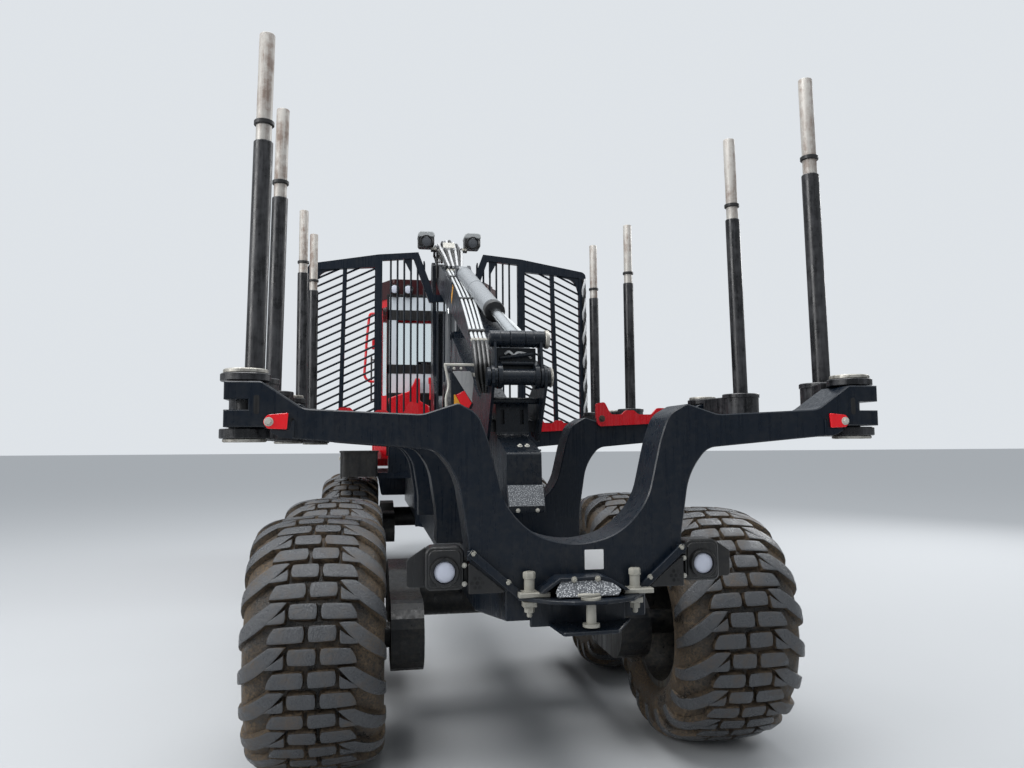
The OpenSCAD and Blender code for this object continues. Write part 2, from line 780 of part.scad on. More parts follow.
// Rocker on the knuckle's pin, which the stick cylinder's rod pushes.
module rocker() {
    plate_in = boom_w / 2 + moving_gap;
    color("#1b1e22") machine() {
        for (s = [0, 1]) mirror([s, 0, 0]) {
            bar_x(plate_in, rocker_out, knuckle.x, knuckle.y, 64);
            bar_x(plate_in, rocker_out, stick_head.x, stick_head.y, 50);
            side_plate(plate_in + 1, rocker_out - 1, [
                [knuckle.x - 52, knuckle.y], [knuckle.x + 52, knuckle.y],
                [stick_head.x + 40, stick_head.y], [stick_head.x - 40, stick_head.y]
            ]);
            bar_x(50, rocker_out + 24, stick_head.x, stick_head.y, 36);
            bar_x(knuckle_w / 2 + moving_gap, knuckle_w / 2 + 23, knuckle.x, knuckle.y, 56);
        }
        bar_x(-knuckle_w / 2 - 24, knuckle_w / 2 + 24, knuckle.x, knuckle.y, crane_pin_r);
    }
}

// Stick under the parked boom: box with a saddle on it, and two ears up to the knuckle.
module stick() {
    half = stick_w / 2;
    ear_in = rocker_out + 2;
    ear_out = knuckle_w / 2;
    saddle_y = knuckle.x + 200;
    saddle_z = knuckle.y - 136;
    color("#1f2328") machine() {
        difference() {
            side_plate(-half, half, [
                [stick_rear.x, stick_rear.y, 15], [stick_rear.x + 20, stick_rear.y + 335, 20],
                [saddle_y, stick_low(saddle_y) + stick_h, 30],
                [saddle_y + 15, saddle_z, 10], [saddle_y + 100, saddle_z, 10],
                [saddle_y + 300, stick_low(saddle_y + 300) + stick_h + 20, 100],
                [saddle_y + 460, stick_low(saddle_y + 460) + stick_h],
                [stick_tip_y, stick_low(stick_tip_y) + stick_h],
                [stick_tip_y + 60, stick_low(stick_tip_y + 60)]
            ]);
            // hollow for the extension
            translate([0, stick_rear.x, stick_rear.y]) rotate([boom_angle, 0, 0])
                block([-half + stick_wall, 420, stick_wall + 2], [
                    half - stick_wall, 5000, stick_h * cos(boom_angle) - stick_wall - 2
                ]);
            for (x = [-60, 60])
                block([x - 12, saddle_y + 5, saddle_z - 135], [x + 12, saddle_y + 40, saddle_z - 45]);
        }
        difference() {
            for (s = [0, 1]) mirror([s, 0, 0])
                side_plate(ear_in, ear_out, [
                    [knuckle.x - 70, knuckle.y - 40, 60], [saddle_y - 30, saddle_z - 245, 40],
                    [saddle_y + 140, saddle_z - 205, 30], [saddle_y + 460, saddle_z - 60, 60],
                    [saddle_y + 200, saddle_z + 55, 120], [knuckle.x + 90, knuckle.y + 64, 64],
                    [knuckle.x - 70, knuckle.y + 70, 66]
                ]);
            bar_x(-knuckle_w, knuckle_w, knuckle.x, knuckle.y, crane_pin_r + running_gap);
        }
        bar_x(-ear_in - 1, ear_in + 1, saddle_y - 60, saddle_z + 5, 20);
        side_plate(-ear_in - 1, ear_in + 1, [
            [saddle_y + 60, stick_low(saddle_y + 60) + stick_h + 1],
            [saddle_y + 80, saddle_z - 105, 20], [saddle_y + 260, saddle_z - 55, 20],
            [saddle_y + 360, stick_low(saddle_y + 360) + stick_h + 1]
        ]);
    }
}

// Extension that slides out of the stick, with the nose that carries the hanger.
module stick_extension() {
    half = stick_w / 2 - stick_wall - seat_gap;
    low = stick_wall + 2 + seat_gap;
    high = stick_h * cos(boom_angle) - low;
    color("#2a2e33") machine() {
        translate([0, stick_rear.x, stick_rear.y]) rotate([boom_angle, 0, 0])
            block([-half, 700, low], [half, (stick_tip_y + 43 - stick_rear.x) / cos(boom_angle), high]);
        difference() {
            side_plate(-nose_half, nose_half, [
                [stick_tip_y - 60, stick_low(stick_tip_y - 60) + 60],
                [stick_tip_y + 60, stick_low(stick_tip_y + 60) + 60],
                [tip.x - 70, tip.y - 50, 40], [tip.x + 10, tip.y - 60, 50], [tip.x + 60, tip.y, 50],
                [tip.x, tip.y + 70, 50], [stick_tip_y - 60, stick_low(stick_tip_y - 60) + 260]
            ]);
            bar_x(-nose_half - 1, nose_half + 1, tip.x, tip.y, tip_pin_r + running_gap);
        }
    }
}

// Hanger: two links on the pin at the extension's nose and the block above the rotator.
module hanger() {
    link_in = nose_half + moving_gap;
    color("#202428") machine() {
        for (s = [0, 1]) mirror([s, 0, 0])
            side_plate(link_in, link_in + 20, [
                [tip.x - 48, tip.y + 48, 45], [tip.x - 48, rotator_top, 0],
                [tip.x + 48, rotator_top, 0], [tip.x + 48, tip.y + 48, 45]
            ]);
        block([-link_in - 20, tip.x - 60, rotator_top], [link_in + 20, tip.x + 60, rotator_top + 50]);
        bar_x(-link_in - 30, link_in + 30, tip.x, tip.y, tip_pin_r);
    }
}

// Rotator with the grapple's frame and the pins of both jaws.
module rotator() {
    low = jaw_pin_z - 70;
    color("#22262b") machine() {
        bar_z(0, tip.x, rotator_top - 130, rotator_top - seat_gap, 85);
        flat_plate(rotator_top - 160, rotator_top - 129, [
            [-110, tip.x - 130, 30], [110, tip.x - 130, 30], [110, tip.x + 130, 30],
            [-110, tip.x + 130, 30]
        ]);
        side_plate(-60, 60, [
            [tip.x - 130, rotator_top - 159], [tip.x - 170, jaw_pin_z + 30, 60],
            [tip.x - 160, low, 60], [tip.x + 160, low, 60], [tip.x + 170, jaw_pin_z + 30, 60],
            [tip.x + 130, rotator_top - 159]
        ]);
        for (s = [-1, 1])
            bar_x(-jaw_w / 2, jaw_w / 2, tip.x + s * jaw_pin_y, jaw_pin_z, jaw_pin_r);
    }
}

// Fore jaw, drawn from its pin: two ears and a curved shell down to the tip.
module jaw_shape() {
    ear_in = 66;
    ear_out = jaw_w / 2 - 5;
    tip_y = moving_gap / 2 - jaw_pin_y;
    difference() {
        union() {
            for (s = [0, 1]) mirror([s, 0, 0])
                side_plate(ear_in, ear_out, [
                    [-50, 50, 48], [60, 50, 48], [215, -200, 150], [190, -430, 200],
                    [-60, -jaw_len], [tip_y, -jaw_len], [tip_y, 40 - jaw_len],
                    [95, -440, 200], [135, -230, 100], [40, -110, 60], [-50, -50, 48]
                ]);
            side_plate(-ear_out, ear_out, [
                [160, -210], [200, -210], [190, -430, 200], [-60, -jaw_len], [tip_y, -jaw_len],
                [tip_y, 35 - jaw_len], [150, -420, 200]
            ]);
        }
        bar_x(-jaw_w, jaw_w, 0, 0, jaw_pin_r + running_gap);
    }
}

module jaw_fore() {
    color("#2a2d30") machine() translate([0, tip.x + jaw_pin_y, jaw_pin_z]) jaw_shape();
}

module jaw_aft() {
    color("#2a2d30") machine()
        translate([0, tip.x - jaw_pin_y, jaw_pin_z]) mirror([0, 1, 0]) jaw_shape();
}

// Fork of the front frame with the steering pin and the upright box behind it.
module front_fork() {
    half = front_frame_w / 2;
    low_z0 = frame_bottom - 50 - moving_gap - fork_t;
    top_z0 = frame_top + 40 + moving_gap;
    web_y = pivot_y + 170;
    color("#22262b") machine() {
        for (z = [low_z0, top_z0])
            flat_plate(z, z + fork_t, [
                [-150, pivot_y - 150, 140], [150, pivot_y - 150, 140], [half, web_y + 100],
                [-half, web_y + 100]
            ]);
        bar_z(0, pivot_y, low_z0, top_z0 + fork_t, pivot_pin_r);
        block([-half, web_y, low_z0], [half, web_y + fork_box, deck_z - seat_gap]);
    }
}

// Front frame: box beam, deck, cab mounts, nose and bumper.
module front_frame() {
    half = front_frame_w / 2;
    beam_y = pivot_y + 170 + fork_box + seat_gap;
    color("#22262b") machine() {
        difference() {
            flat_plate(frame_bottom, deck_z, [
                [-half, beam_y], [half, beam_y], [half, nose_y - 200], [-half, nose_y - 200]
            ]);
            bar_x(-half - 1, half + 1, front_bogie_y, tyre_d / 2 + 70, 130);
        }
        flat_plate(deck_z, deck_top, [
            [-side_box_in, pivot_y + 250, 20], [side_box_in, pivot_y + 250, 20],
            [side_box_in, cab_front_y + 20], [-side_box_in, cab_front_y + 20]
        ]);
        block([-650, tank_rear_y, deck_top - 1], [650, tank_front_y, tank_top_z - seat_gap]);
        for (x = [-500, 500], y = [cab_rear_y + 220, cab_front_y - 240])
            bar_z(x, y, deck_top - 1, cab_floor_z, 60);
        cross_plate(nose_y - 200, nose_y, [
            [-700, 930, 40], [700, 930, 40], [760, 1240, 30], [-760, 1240, 30]
        ]);
        for (s = [0, 1]) mirror([s, 0, 0]) difference() {
            block([240, hood_pin_y - 60, 1200], [280, hood_pin_y + 30, hood_pin_z + 30]);
            bar_x(239, 281, hood_pin_y, hood_pin_z, hood_pin_r + running_gap);
        }
    }
}

// Red sloping cover on the tank behind the cab.
module rear_cover() {
    color("#d8101c") machine()
        side_plate(-660, -150, [
            [tank_rear_y + 20, tank_top_z], [tank_front_y, tank_top_z], [tank_front_y, 2360, 20],
            [tank_front_y - 60, 2360, 20], [tank_rear_y + 60, 2130, 30]
        ]);
}

// Engine with gearbox and cooler, drawn as plain blocks at their real places.
module engine() {
    color("#3c3f42") machine() {
        block([-330, cab_front_y + 120, deck_z], [330, nose_y - 420, 1900]);
        block([-240, cab_front_y + 180, 1899], [240, nose_y - 560, 2150]);
    }
}

// Boxes beside the deck with their lids, above the foremost wheels of the front bogies.
module side_boxes() {
    color("#1b1d20") machine() for (s = [0, 1]) mirror([s, 0, 0]) {
        flat_plate(side_box_z0, side_box_z1 - 20, [
            [side_box_in, pivot_y + 10, 20], [side_box_out, pivot_y + 10, 60],
            [side_box_out, side_box_front, 60], [side_box_in, side_box_front, 20]
        ]);
        flat_plate(side_box_z1 - 21, side_box_z1, [
            [side_box_in - 10, pivot_y, 20], [side_box_out + 10, pivot_y, 60],
            [side_box_out + 10, side_box_front + 10, 60], [side_box_in - 10, side_box_front + 10, 20]
        ]);
    }
}

// Outline moved inwards by d on every side; the corners run anticlockwise.
function inset(corners, d) = [
    for (i = [0:len(corners) - 1])
        let (
            k = len(corners),
            q = corners[i],
            a = corners[(i + k - 1) % k] - q,
            b = corners[(i + 1) % k] - q,
            u = a / norm(a),
            v = b / norm(b)
        )
        norm(u + v) < 0.001 ? q + d * [-v.y, v.x]
            : q + (u + v) / norm(u + v) * d / sin(acos(u * v) / 2)
];

// Cab's outline from above and from the side, anticlockwise
CAB_PLAN = [
    [-620, cab_rear_y], [620, cab_rear_y], [cab_w / 2, cab_rear_y + 350],
    [cab_w / 2, cab_front_y - 300], [580, cab_front_y], [-580, cab_front_y],
    [-cab_w / 2, cab_front_y - 300], [-cab_w / 2, cab_rear_y + 350]
];
CAB_SIDE = [
    [cab_rear_y, cab_floor_z], [cab_front_y, cab_floor_z], [cab_front_y, 2300],
    [cab_front_y - 170, cab_wall_z + 400], [cab_rear_y, cab_wall_z + 400]
];

// Solid of the cab with its sides moved inwards by d, cut off at the height of its walls.
module cab_solid(d) {
    intersection() {
        flat_plate(cab_floor_z, cab_wall_z, inset(CAB_PLAN, d));
        side_plate(-cab_w, cab_w, inset(CAB_SIDE, d));
    }
}

// Windows: corner and opposite corner of the block that cuts each one.
WINDOWS = [
    [[-540, cab_rear_y - 50, 2660], [540, cab_rear_y + 150, 3540]],
    [[-540, cab_rear_y - 50, 2380], [-90, cab_rear_y + 150, 2580]],
    [[90, cab_rear_y - 50, 2380], [540, cab_rear_y + 150, 2580]],
    [[670, cab_rear_y + 80, 2380], [cab_w, cab_rear_y + 290, 3540]],
    [[-cab_w, cab_rear_y + 80, 2380], [-670, cab_rear_y + 290, 3540]],
    [[cab_w / 2 - 150, cab_rear_y + 420, 2200], [cab_w, cab_front_y - 360, 3540]],
    [[640, cab_front_y - 250, 2250], [cab_w, cab_front_y - 60, 3540]],
    [[-cab_w, cab_front_y - 250, 2250], [-640, cab_front_y - 60, 3540]],
    [[-500, cab_front_y - 400, 2480], [500, cab_front_y + 50, 3540]]
];
DOOR = [[-cab_w, cab_rear_y + 400, cab_floor_z + 80], [-cab_w / 2 + 150, cab_front_y - 350, 3600]];
DOOR_WINDOW = [
    [-cab_w, cab_rear_y + 490, 2250], [-cab_w / 2 + 200, cab_front_y - 440, 3520]
];

// Hinges of the door: axis, heights of their lower ends, height and radii
door_pin = [-cab_w / 2 - 22, DOOR[1].y + 6];
DOOR_HINGES = [1850, 3150];
hinge_h = 80;
hinge_r = 20;
hinge_pin_r = 9;

module cab_shell() {
    color("#d01020") machine() difference() {
        cab_solid(0);
        cab_cavity();
        for (w = WINDOWS) block(w[0], w[1]);
        block(DOOR[0], DOOR[1]);
    }
    // brackets and pins of the door's hinges
    color("#d01020") machine() for (z = DOOR_HINGES) {
        bar_z(door_pin.x, door_pin.y, z - 30, z + hinge_h + 30, hinge_pin_r);
        for (b = [[z - 30, z - seat_gap], [z + hinge_h + seat_gap, z + hinge_h + 30]]) {
            bar_z(door_pin.x, door_pin.y, b[0], b[1], hinge_r);
            block([door_pin.x - 10, door_pin.y, b[0]], [1 - cab_w / 2, door_pin.y + 60, b[1]]);
        }
    }
}

// Hollow of the cab, open at the top under the roof.
module cab_cavity() {
    intersection() {
        flat_plate(cab_floor_z, cab_wall_z + 100, inset(CAB_PLAN, cab_wall));
        side_plate(-cab_w, cab_w, inset(CAB_SIDE, cab_wall));
    }
}

module cab_panes() {
    set_back = 20;
    color("#33424a") machine() for (w = WINDOWS) intersection() {
        difference() {
            cab_solid(set_back);
            cab_solid(set_back + pane_t);
        }
        block(w[0], w[1]);
    }
}

module cab_roof() {
    color("#7c0d18") machine() {
        flat_plate(cab_wall_z, roof_top_z - 60, [
            [-640, cab_rear_y - 10, 30], [640, cab_rear_y - 10, 30],
            [cab_w / 2 + 10, cab_rear_y + 340, 60], [cab_w / 2 + 10, cab_front_y - 200, 80],
            [560, cab_front_y, 60], [-560, cab_front_y, 60],
            [-cab_w / 2 - 10, cab_front_y - 200, 80], [-cab_w / 2 - 10, cab_rear_y + 340, 60]
        ]);
        flat_plate(roof_top_z - 61, roof_top_z, [
            [-600, cab_rear_y + 40, 60], [600, cab_rear_y + 40, 60],
            [cab_w / 2 - 50, cab_rear_y + 360, 60], [cab_w / 2 - 50, cab_front_y - 240, 80],
            [520, cab_front_y - 60, 60], [-520, cab_front_y - 60, 60],
            [-cab_w / 2 + 50, cab_front_y - 240, 80], [-cab_w / 2 + 50, cab_rear_y + 360, 60]
        ]);
        for (s = [-1, 1], x = [402, 578])
            bar_y(s * x, cab_rear_y - 70, cab_rear_y, 3745, 62);
    }
}

// Seat on its base with the two armrest consoles.
module cab_seat() {
    mid_y = 7560;
    floor_z = cab_floor_z + cab_wall;
    color("#191a1c") machine() {
        block([-160, mid_y - 160, floor_z], [160, mid_y + 160, 2030]);
        side_plate(-250, 250, [
            [mid_y - 260, 2000, 60], [mid_y + 260, 2000, 60], [mid_y + 270, 2140, 60],
            [mid_y - 130, 2150, 40], [mid_y - 210, 2860, 60], [mid_y - 330, 2860, 60]
        ]);
        for (s = [0, 1]) mirror([s, 0, 0]) {
            block([249, mid_y - 160, 2060], [330, mid_y + 60, 2120]);
            side_plate(290, 400, [
                [mid_y - 150, 2119], [mid_y + 330, 2119, 40], [mid_y + 330, 2250, 60],
                [mid_y - 150, 2220, 30]
            ]);
        }
    }
}

module cab_door() {
    gap = moving_gap;
    color("#d01020") machine() {
        difference() {
            intersection() {
                difference() {
                    cab_solid(0);
                    cab_solid(cab_wall);
                }
                block(DOOR[0] + [0, gap, gap], DOOR[1] - [0, gap, gap]);
            }
            block(DOOR_WINDOW[0], DOOR_WINDOW[1]);
        }
        for (z = DOOR_HINGES) difference() {
            union() {
                bar_z(door_pin.x, door_pin.y, z, z + hinge_h, hinge_r);
                block(
                    [door_pin.x - 10, door_pin.y - 80, z],
                    [door_pin.x + hinge_r, door_pin.y, z + hinge_h]
                );
                block(
                    [door_pin.x + hinge_r - 1, door_pin.y - 80, z],
                    [1 - cab_w / 2, DOOR[1].y - gap, z + hinge_h]
                );
            }
            bar_z(door_pin.x, door_pin.y, z - 1, z + hinge_h + 1, hinge_pin_r + running_gap);
        }
    }
}

module door_pane() {
    set_back = 20;
    color("#33424a") machine() intersection() {
        difference() {
            cab_solid(set_back);
            cab_solid(set_back + pane_t);
        }
        block(DOOR_WINDOW[0], DOOR_WINDOW[1]);
    }
}

// Hood over the engine: a shell open below and behind, tilting forward on its pin.
module hood() {
    rear_y = cab_front_y + 60;
    front_y = nose_y - 50;
    low_z = 1400;
    half = 850;
    color("#d01020") machine() {
        difference() {
            intersection() {
                side_plate(-half, half, [
                    [rear_y, low_z], [front_y, low_z, 20], [front_y, 2150, 180],
                    [front_y - 500, hood_top_z - 60, 300], [rear_y, hood_top_z]
                ]);
                flat_plate(low_z, hood_top_z, [
                    [-half, rear_y], [half, rear_y], [half, front_y, 160], [-half, front_y, 160]
                ]);
                cross_plate(rear_y, front_y, [
                    [-half, low_z], [half, low_z], [half, 2000, 0], [half - 140, hood_top_z, 140],
                    [140 - half, hood_top_z, 140], [-half, 2000, 0]
                ]);
            }
            intersection() {
                side_plate(-half, half, [
                    [rear_y - 10, low_z - 10], [front_y - hood_wall, low_z - 10],
                    [front_y - hood_wall, 2150 - hood_wall, 160],
                    [front_y - 500, hood_top_z - 60 - hood_wall, 280],
                    [rear_y - 10, hood_top_z - hood_wall]
                ]);
                cross_plate(rear_y - 20, front_y, [
                    [hood_wall - half, low_z - 10], [half - hood_wall, low_z - 10],
                    [half - hood_wall, 1980, 0], [half - 150, hood_top_z - hood_wall, 130],
                    [150 - half, hood_top_z - hood_wall, 130], [hood_wall - half, 1980, 0]
                ]);
            }
            // grille openings in the front and in both sides
            for (i = [0:7])
                block(
                    [-560, front_y - 100, 1520 + i * 66],
                    [560, front_y + 10, 1520 + i * 66 + 40]
                );
            for (i = [0:9])
                block(
                    [-half - 10, rear_y + 300 + i * 70, 1620],
                    [half + 10, rear_y + 300 + i * 70 + 40, 1900]
                );
        }
        for (s = [0, 1]) mirror([s, 0, 0]) {
            block([285, hood_pin_y - 25, hood_pin_z - 25], [315, front_y - hood_wall + 1, 1460]);
            bar_x(240, 286, hood_pin_y, hood_pin_z, hood_pin_r);
        }
    }
}

for (s = STAKES) stake(s);
for (w = WHEELS) wheel(w);
rear_frame();
rear_axle();
bolsters();
bolster_guards();
headboard();
tow_hitch();
tail_lamps();
crane_post();
front_fork();
front_frame();
front_axle();
engine();
side_boxes();
cab_shell();
cab_roof();
cab_panes();
cab_seat();
rear_cover();
cab_door();
door_pane();
hood();
main_boom();
boom_lamps();
lift_barrel();
lift_rod();
stick_barrel();
stick_rod();
rocker();
stick();
stick_extension();
hanger();
rotator();
jaw_aft();
jaw_fore();
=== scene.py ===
"""Forestry forwarder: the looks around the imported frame, from the wheels up to the crane."""

import json
import math

import bpy
import numpy as np
from mathutils import Matrix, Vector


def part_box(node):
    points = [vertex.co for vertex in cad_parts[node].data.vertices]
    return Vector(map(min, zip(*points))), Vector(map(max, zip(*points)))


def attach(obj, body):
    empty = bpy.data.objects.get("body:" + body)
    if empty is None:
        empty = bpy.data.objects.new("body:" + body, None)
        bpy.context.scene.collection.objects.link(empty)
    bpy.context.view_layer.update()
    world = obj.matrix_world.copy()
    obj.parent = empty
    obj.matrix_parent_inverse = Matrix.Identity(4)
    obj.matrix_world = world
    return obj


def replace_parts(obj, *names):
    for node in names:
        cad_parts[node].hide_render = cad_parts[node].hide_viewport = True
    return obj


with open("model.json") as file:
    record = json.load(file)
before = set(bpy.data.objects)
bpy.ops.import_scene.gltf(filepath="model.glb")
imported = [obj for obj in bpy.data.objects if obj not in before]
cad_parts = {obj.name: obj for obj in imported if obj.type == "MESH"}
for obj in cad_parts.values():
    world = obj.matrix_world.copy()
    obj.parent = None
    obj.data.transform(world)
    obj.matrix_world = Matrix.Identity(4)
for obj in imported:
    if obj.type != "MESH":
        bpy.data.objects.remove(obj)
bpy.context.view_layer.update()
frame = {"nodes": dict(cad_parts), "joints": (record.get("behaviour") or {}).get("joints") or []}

# Camera, floor and light
# The machine is seen from behind, left of its middle, at the height of a standing person's
# eyes. The floor and the light are a plain pale studio; the lamps are large and soft.


def linear(code):
    """Linear colour of an sRGB hex value: c/12.92 below 0.04045, else ((c+0.055)/1.055)^2.4."""
    values = [int(code[i : i + 2], 16) / 255 for i in (1, 3, 5)]
    return (*[c / 12.92 if c < 0.04045 else ((c + 0.055) / 1.055) ** 2.4 for c in values], 1.0)


def unit(vectors):
    """Vectors scaled to a length of one."""
    vectors = np.asarray(vectors, float)
    return vectors / np.linalg.norm(vectors, axis=-1, keepdims=True)


def add(tree, kind, inputs=(), **settings):
    """Adds one shader node. Its inputs go by name or in order, as in a Map Range's value, from
    low, from high, to low, to high. Each is a constant, or the output socket that feeds it, or
    a node that feeds it by its first output."""
    made = tree.nodes.new("ShaderNode" + kind)
    for name, value in settings.items():
        setattr(made, name, value)
    for name, value in inputs.items() if isinstance(inputs, dict) else enumerate(inputs):
        if isinstance(value, bpy.types.Node):
            value = value.outputs[0]
        if isinstance(value, bpy.types.NodeSocket):
            tree.links.new(value, made.inputs[name])
        else:
            made.inputs[name].default_value = value
    return made


def new_tree(name):
    """An empty material and its node tree."""
    material = bpy.data.materials.new(name)
    material.use_nodes = True
    material.node_tree.nodes.clear()
    return material, material.node_tree


def put(name, data):
    """A new object of this data in the scene."""
    made = bpy.data.objects.new(name, data)
    bpy.context.scene.collection.objects.link(made)
    return made


SENSOR_WIDTH = 36.0
FOCAL_PIXELS, FRAME_PIXELS = 771, 1024
CAMERA_PLACE = (-0.837, -7.991, 1.721)
CAMERA_YAW, CAMERA_PITCH, CAMERA_ROLL = 10.22, 4.56, -0.40
camera_data = bpy.data.cameras.new("eye")
camera_data.sensor_width = SENSOR_WIDTH
camera_data.lens = FOCAL_PIXELS / FRAME_PIXELS * SENSOR_WIDTH
camera_data.clip_end = 200.0
camera = put("eye", camera_data)
bpy.context.scene.camera = camera
# Turned right by the yaw, tipped from straight down to the pitch, then rolled about its view
turns = (("Z", -CAMERA_YAW), ("X", 90 + CAMERA_PITCH), ("Z", CAMERA_ROLL))
turn, tip, lean = (Matrix.Rotation(math.radians(angle), 4, axis) for axis, angle in turns)
camera.matrix_world = Matrix.Translation(CAMERA_PLACE) @ turn @ tip @ lean

FLOOR_HALF = 400
floor_mesh = bpy.data.meshes.new("floor")
corners = [(x * FLOOR_HALF, y * FLOOR_HALF, 0) for x, y in ((-1, -1), (1, -1), (1, 1), (-1, 1))]
floor_mesh.from_pydata(corners, [], [(0, 1, 2, 3)])
floor_paint, tree = new_tree("pale_matt_floor")
shader = add(tree, "BsdfPrincipled", {"Base Color": linear("#adafb1"), "Roughness": 0.9})
add(tree, "OutputMaterial", [shader])
floor_mesh.materials.append(floor_paint)
floor = put("floor", floor_mesh)

# An even pale sky where it is seen, and one that brightens upwards where it only lights
world = bpy.data.worlds.new("studio")
bpy.context.scene.world = world
world.use_nodes = True
tree = world.node_tree
tree.nodes.clear()
ray = add(tree, "LightPath")
rays = [ray.outputs["Is Camera Ray"], ray.outputs["Is Transmission Ray"]]
shown = add(tree, "Math", rays, operation="MAXIMUM")
way = add(tree, "SeparateXYZ", [add(tree, "TexCoord").outputs["Generated"]])
rise = add(tree, "MapRange", [way.outputs["Z"], 0.05, 0.7, 0.22, 1.15])
strength = add(tree, "Mix", {"Factor": shown, 2: rise, 3: 0.86}, data_type="FLOAT")
sky = add(tree, "Background", {"Color": linear("#eef3f8"), "Strength": strength})
add(tree, "OutputWorld", [sky])

# Lamp: name, place, size, power, point it faces; all in metres and watts
for name, place, size, power, target in (
    ("overhead", (-2.0, -3.0, 13.0), 10.0, 1350.0, (0.0, -1.5, 1.0)),
    ("left_front", (-11.0, -8.0, 6.0), 6.0, 700.0, (0.0, -2.0, 1.5)),
    ("right_rear", (10.0, 4.0, 7.0), 6.0, 500.0, (0.0, 0.0, 1.5)),
):
    lamp_data = bpy.data.lights.new(name, "AREA")
    lamp_data.shape = "DISK"
    lamp_data.size = size
    lamp_data.energy = power
    back = np.array(place) - np.array(target)
    side, back = unit(np.cross([0.0, 1.0, 0.0], back)), unit(back)
    turn = Matrix([[*c] for c in zip(side, np.cross(back, side), back)]).to_4x4()
    put(name, lamp_data).matrix_world = Matrix.Translation(place) @ turn

bpy.context.scene.view_settings.view_transform = "Standard"

# Frames and axles
# Welded steel beams and cast bogie cases, spray painted in a satin blue-black. Low down the
# paint is dulled by dried dust and splashes.


def paint(name, colour, rough=0.42, dust=0.25, low=0.4, high=2.6, coat=0.0, shine=0.5):
    """Sprayed paint, moulded plastic or plating. Dust share = noise of 385 mm patches times
    noise of 26 mm specks, fading out between the heights low and high; it dulls both the
    colour and the gloss. Rain runs, 17 mm wide and 330 mm long, wet the gloss in upright
    streaks. The relief is a 2.4 mm orange peel over 200 mm dents."""
    material, tree = new_tree(name)
    where = add(tree, "TexCoord").outputs["Object"]
    height = add(tree, "SeparateXYZ", [where]).outputs["Z"]
    fade = add(tree, "MapRange", [height, low, high, 1, 0.35])
    patches = add(tree, "TexNoise", {"Vector": where, "Scale": 1000 / 384.6, "Detail": 8, "Roughness": 0.68})
    specks = add(tree, "TexNoise", {"Vector": where, "Scale": 1000 / 26.32, "Detail": 4, "Roughness": 0.7})
    both = add(tree, "Math", [patches, specks], operation="MULTIPLY")
    share = add(tree, "MapRange", [both, 0.2, 0.42, 0, dust])
    dusty = add(tree, "Math", [share, fade], operation="MULTIPLY")
    colours = {"Factor": dusty, 6: linear(colour), 7: linear("#6d6557")}
    mixed = add(tree, "Mix", colours, data_type="RGBA")
    dull = add(tree, "MapRange", [dusty, 0, 0.5, rough, 0.85])
    drawn = add(tree, "Mapping", {"Vector": where, "Scale": (1000 / 16.67, 1000 / 16.67, 1000 / 333.3)})
    runs = add(tree, "TexNoise", {"Vector": drawn, "Scale": 1, "Detail": 3})
    wet = add(tree, "MapRange", [runs, 0.35, 0.7, 1.15, 0.55])
    gloss = add(tree, "Math", [dull, wet], operation="MULTIPLY")
    peel = add(tree, "TexNoise", {"Vector": where, "Scale": 1000 / 2.381, "Detail": 2})
    dents = add(tree, "TexNoise", {"Vector": where, "Scale": 1000 / 200, "Detail": 2})
    relief = add(tree, "Math", [peel, 0.12, dents], operation="MULTIPLY_ADD")
    bump = add(tree, "Bump", {"Height": relief, "Strength": 0.25, "Distance": 0.004})
    inputs = {"Base Color": mixed.outputs[2], "Roughness": gloss, "Specular IOR Level": shine}
    inputs |= {"Coat Weight": coat, "Coat Roughness": 0.12, "Normal": bump}
    add(tree, "OutputMaterial", [add(tree, "BsdfPrincipled", inputs)])
    return material


def dress(material, *nodes):
    """Gives CAD nodes a material in place of their flat one."""
    for name in nodes:
        for slot in frame["nodes"][name].material_slots:
            slot.link = "OBJECT"
            slot.material = material


# Satin paint gives wide soft highlights; the cast axles are duller and dustier
frame_paint = paint("satin_blue_black_sprayed_frame_paint", "#0a141f", 0.36, 0.12, shine=0.28)
axle_paint = paint("matt_black_cast_axle_paint", "#090c10", 0.45, 0.22, shine=0.3)
dress(frame_paint, "rear_frame", "front_frame", "front_fork", "tow_hitch")
dress(axle_paint, "rear_axle", "front_axle")

# Wheels
# Eight forestry wheels: a wide rubber tyre with staggered rows of middle blocks and long
# slanting shoulder lugs, on a pressed and welded steel rim. Dried mud lies in the grooves.

# Sizes from here on are in millimetres, with stations along Y counted from the rear bolster's
# face, whose place the frame gives
STATION_ZERO = round(1000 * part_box("bolsters")[0][1])
LUG_PITCHES = 20
AXLES = ("rear_aft", "rear_fore", "front_aft", "front_fore")
# Half of the tyre's outer section below the lugs, from the crown to the bead: across, radius
SECTION = [
    (0, 630), (90, 628), (180, 620), (250, 607), (298, 585), (326, 550), (339, 505), (341, 460),
    (334, 420), (318, 390), (296, 372), (286, 366),
]


def smooth_line(points, count):
    """Points evenly spread by length along a Catmull-Rom curve through the given ones."""
    points = np.asarray(points, float)
    ends = np.vstack([2 * points[0] - points[1], points, 2 * points[-1] - points[-2]])
    t = np.linspace(0, 1, 12, endpoint=False)[:, None, None]
    a, b, c, d = ends[:-3], ends[1:-2], ends[2:-1], ends[3:]
    curve = 2 * b + (c - a) * t + (2 * a - 5 * b + 4 * c - d) * t**2 + (3 * b - a - 3 * c + d) * t**3
    curve = np.vstack([0.5 * curve.transpose(1, 0, 2).reshape(-1, points.shape[1]), points[-1:]])
    run = np.r_[0, np.cumsum(np.linalg.norm(np.diff(curve, axis=0), axis=1))]
    want = np.linspace(0, run[-1], count)
    return np.column_stack([np.interp(want, run, curve[:, i]) for i in range(points.shape[1])])


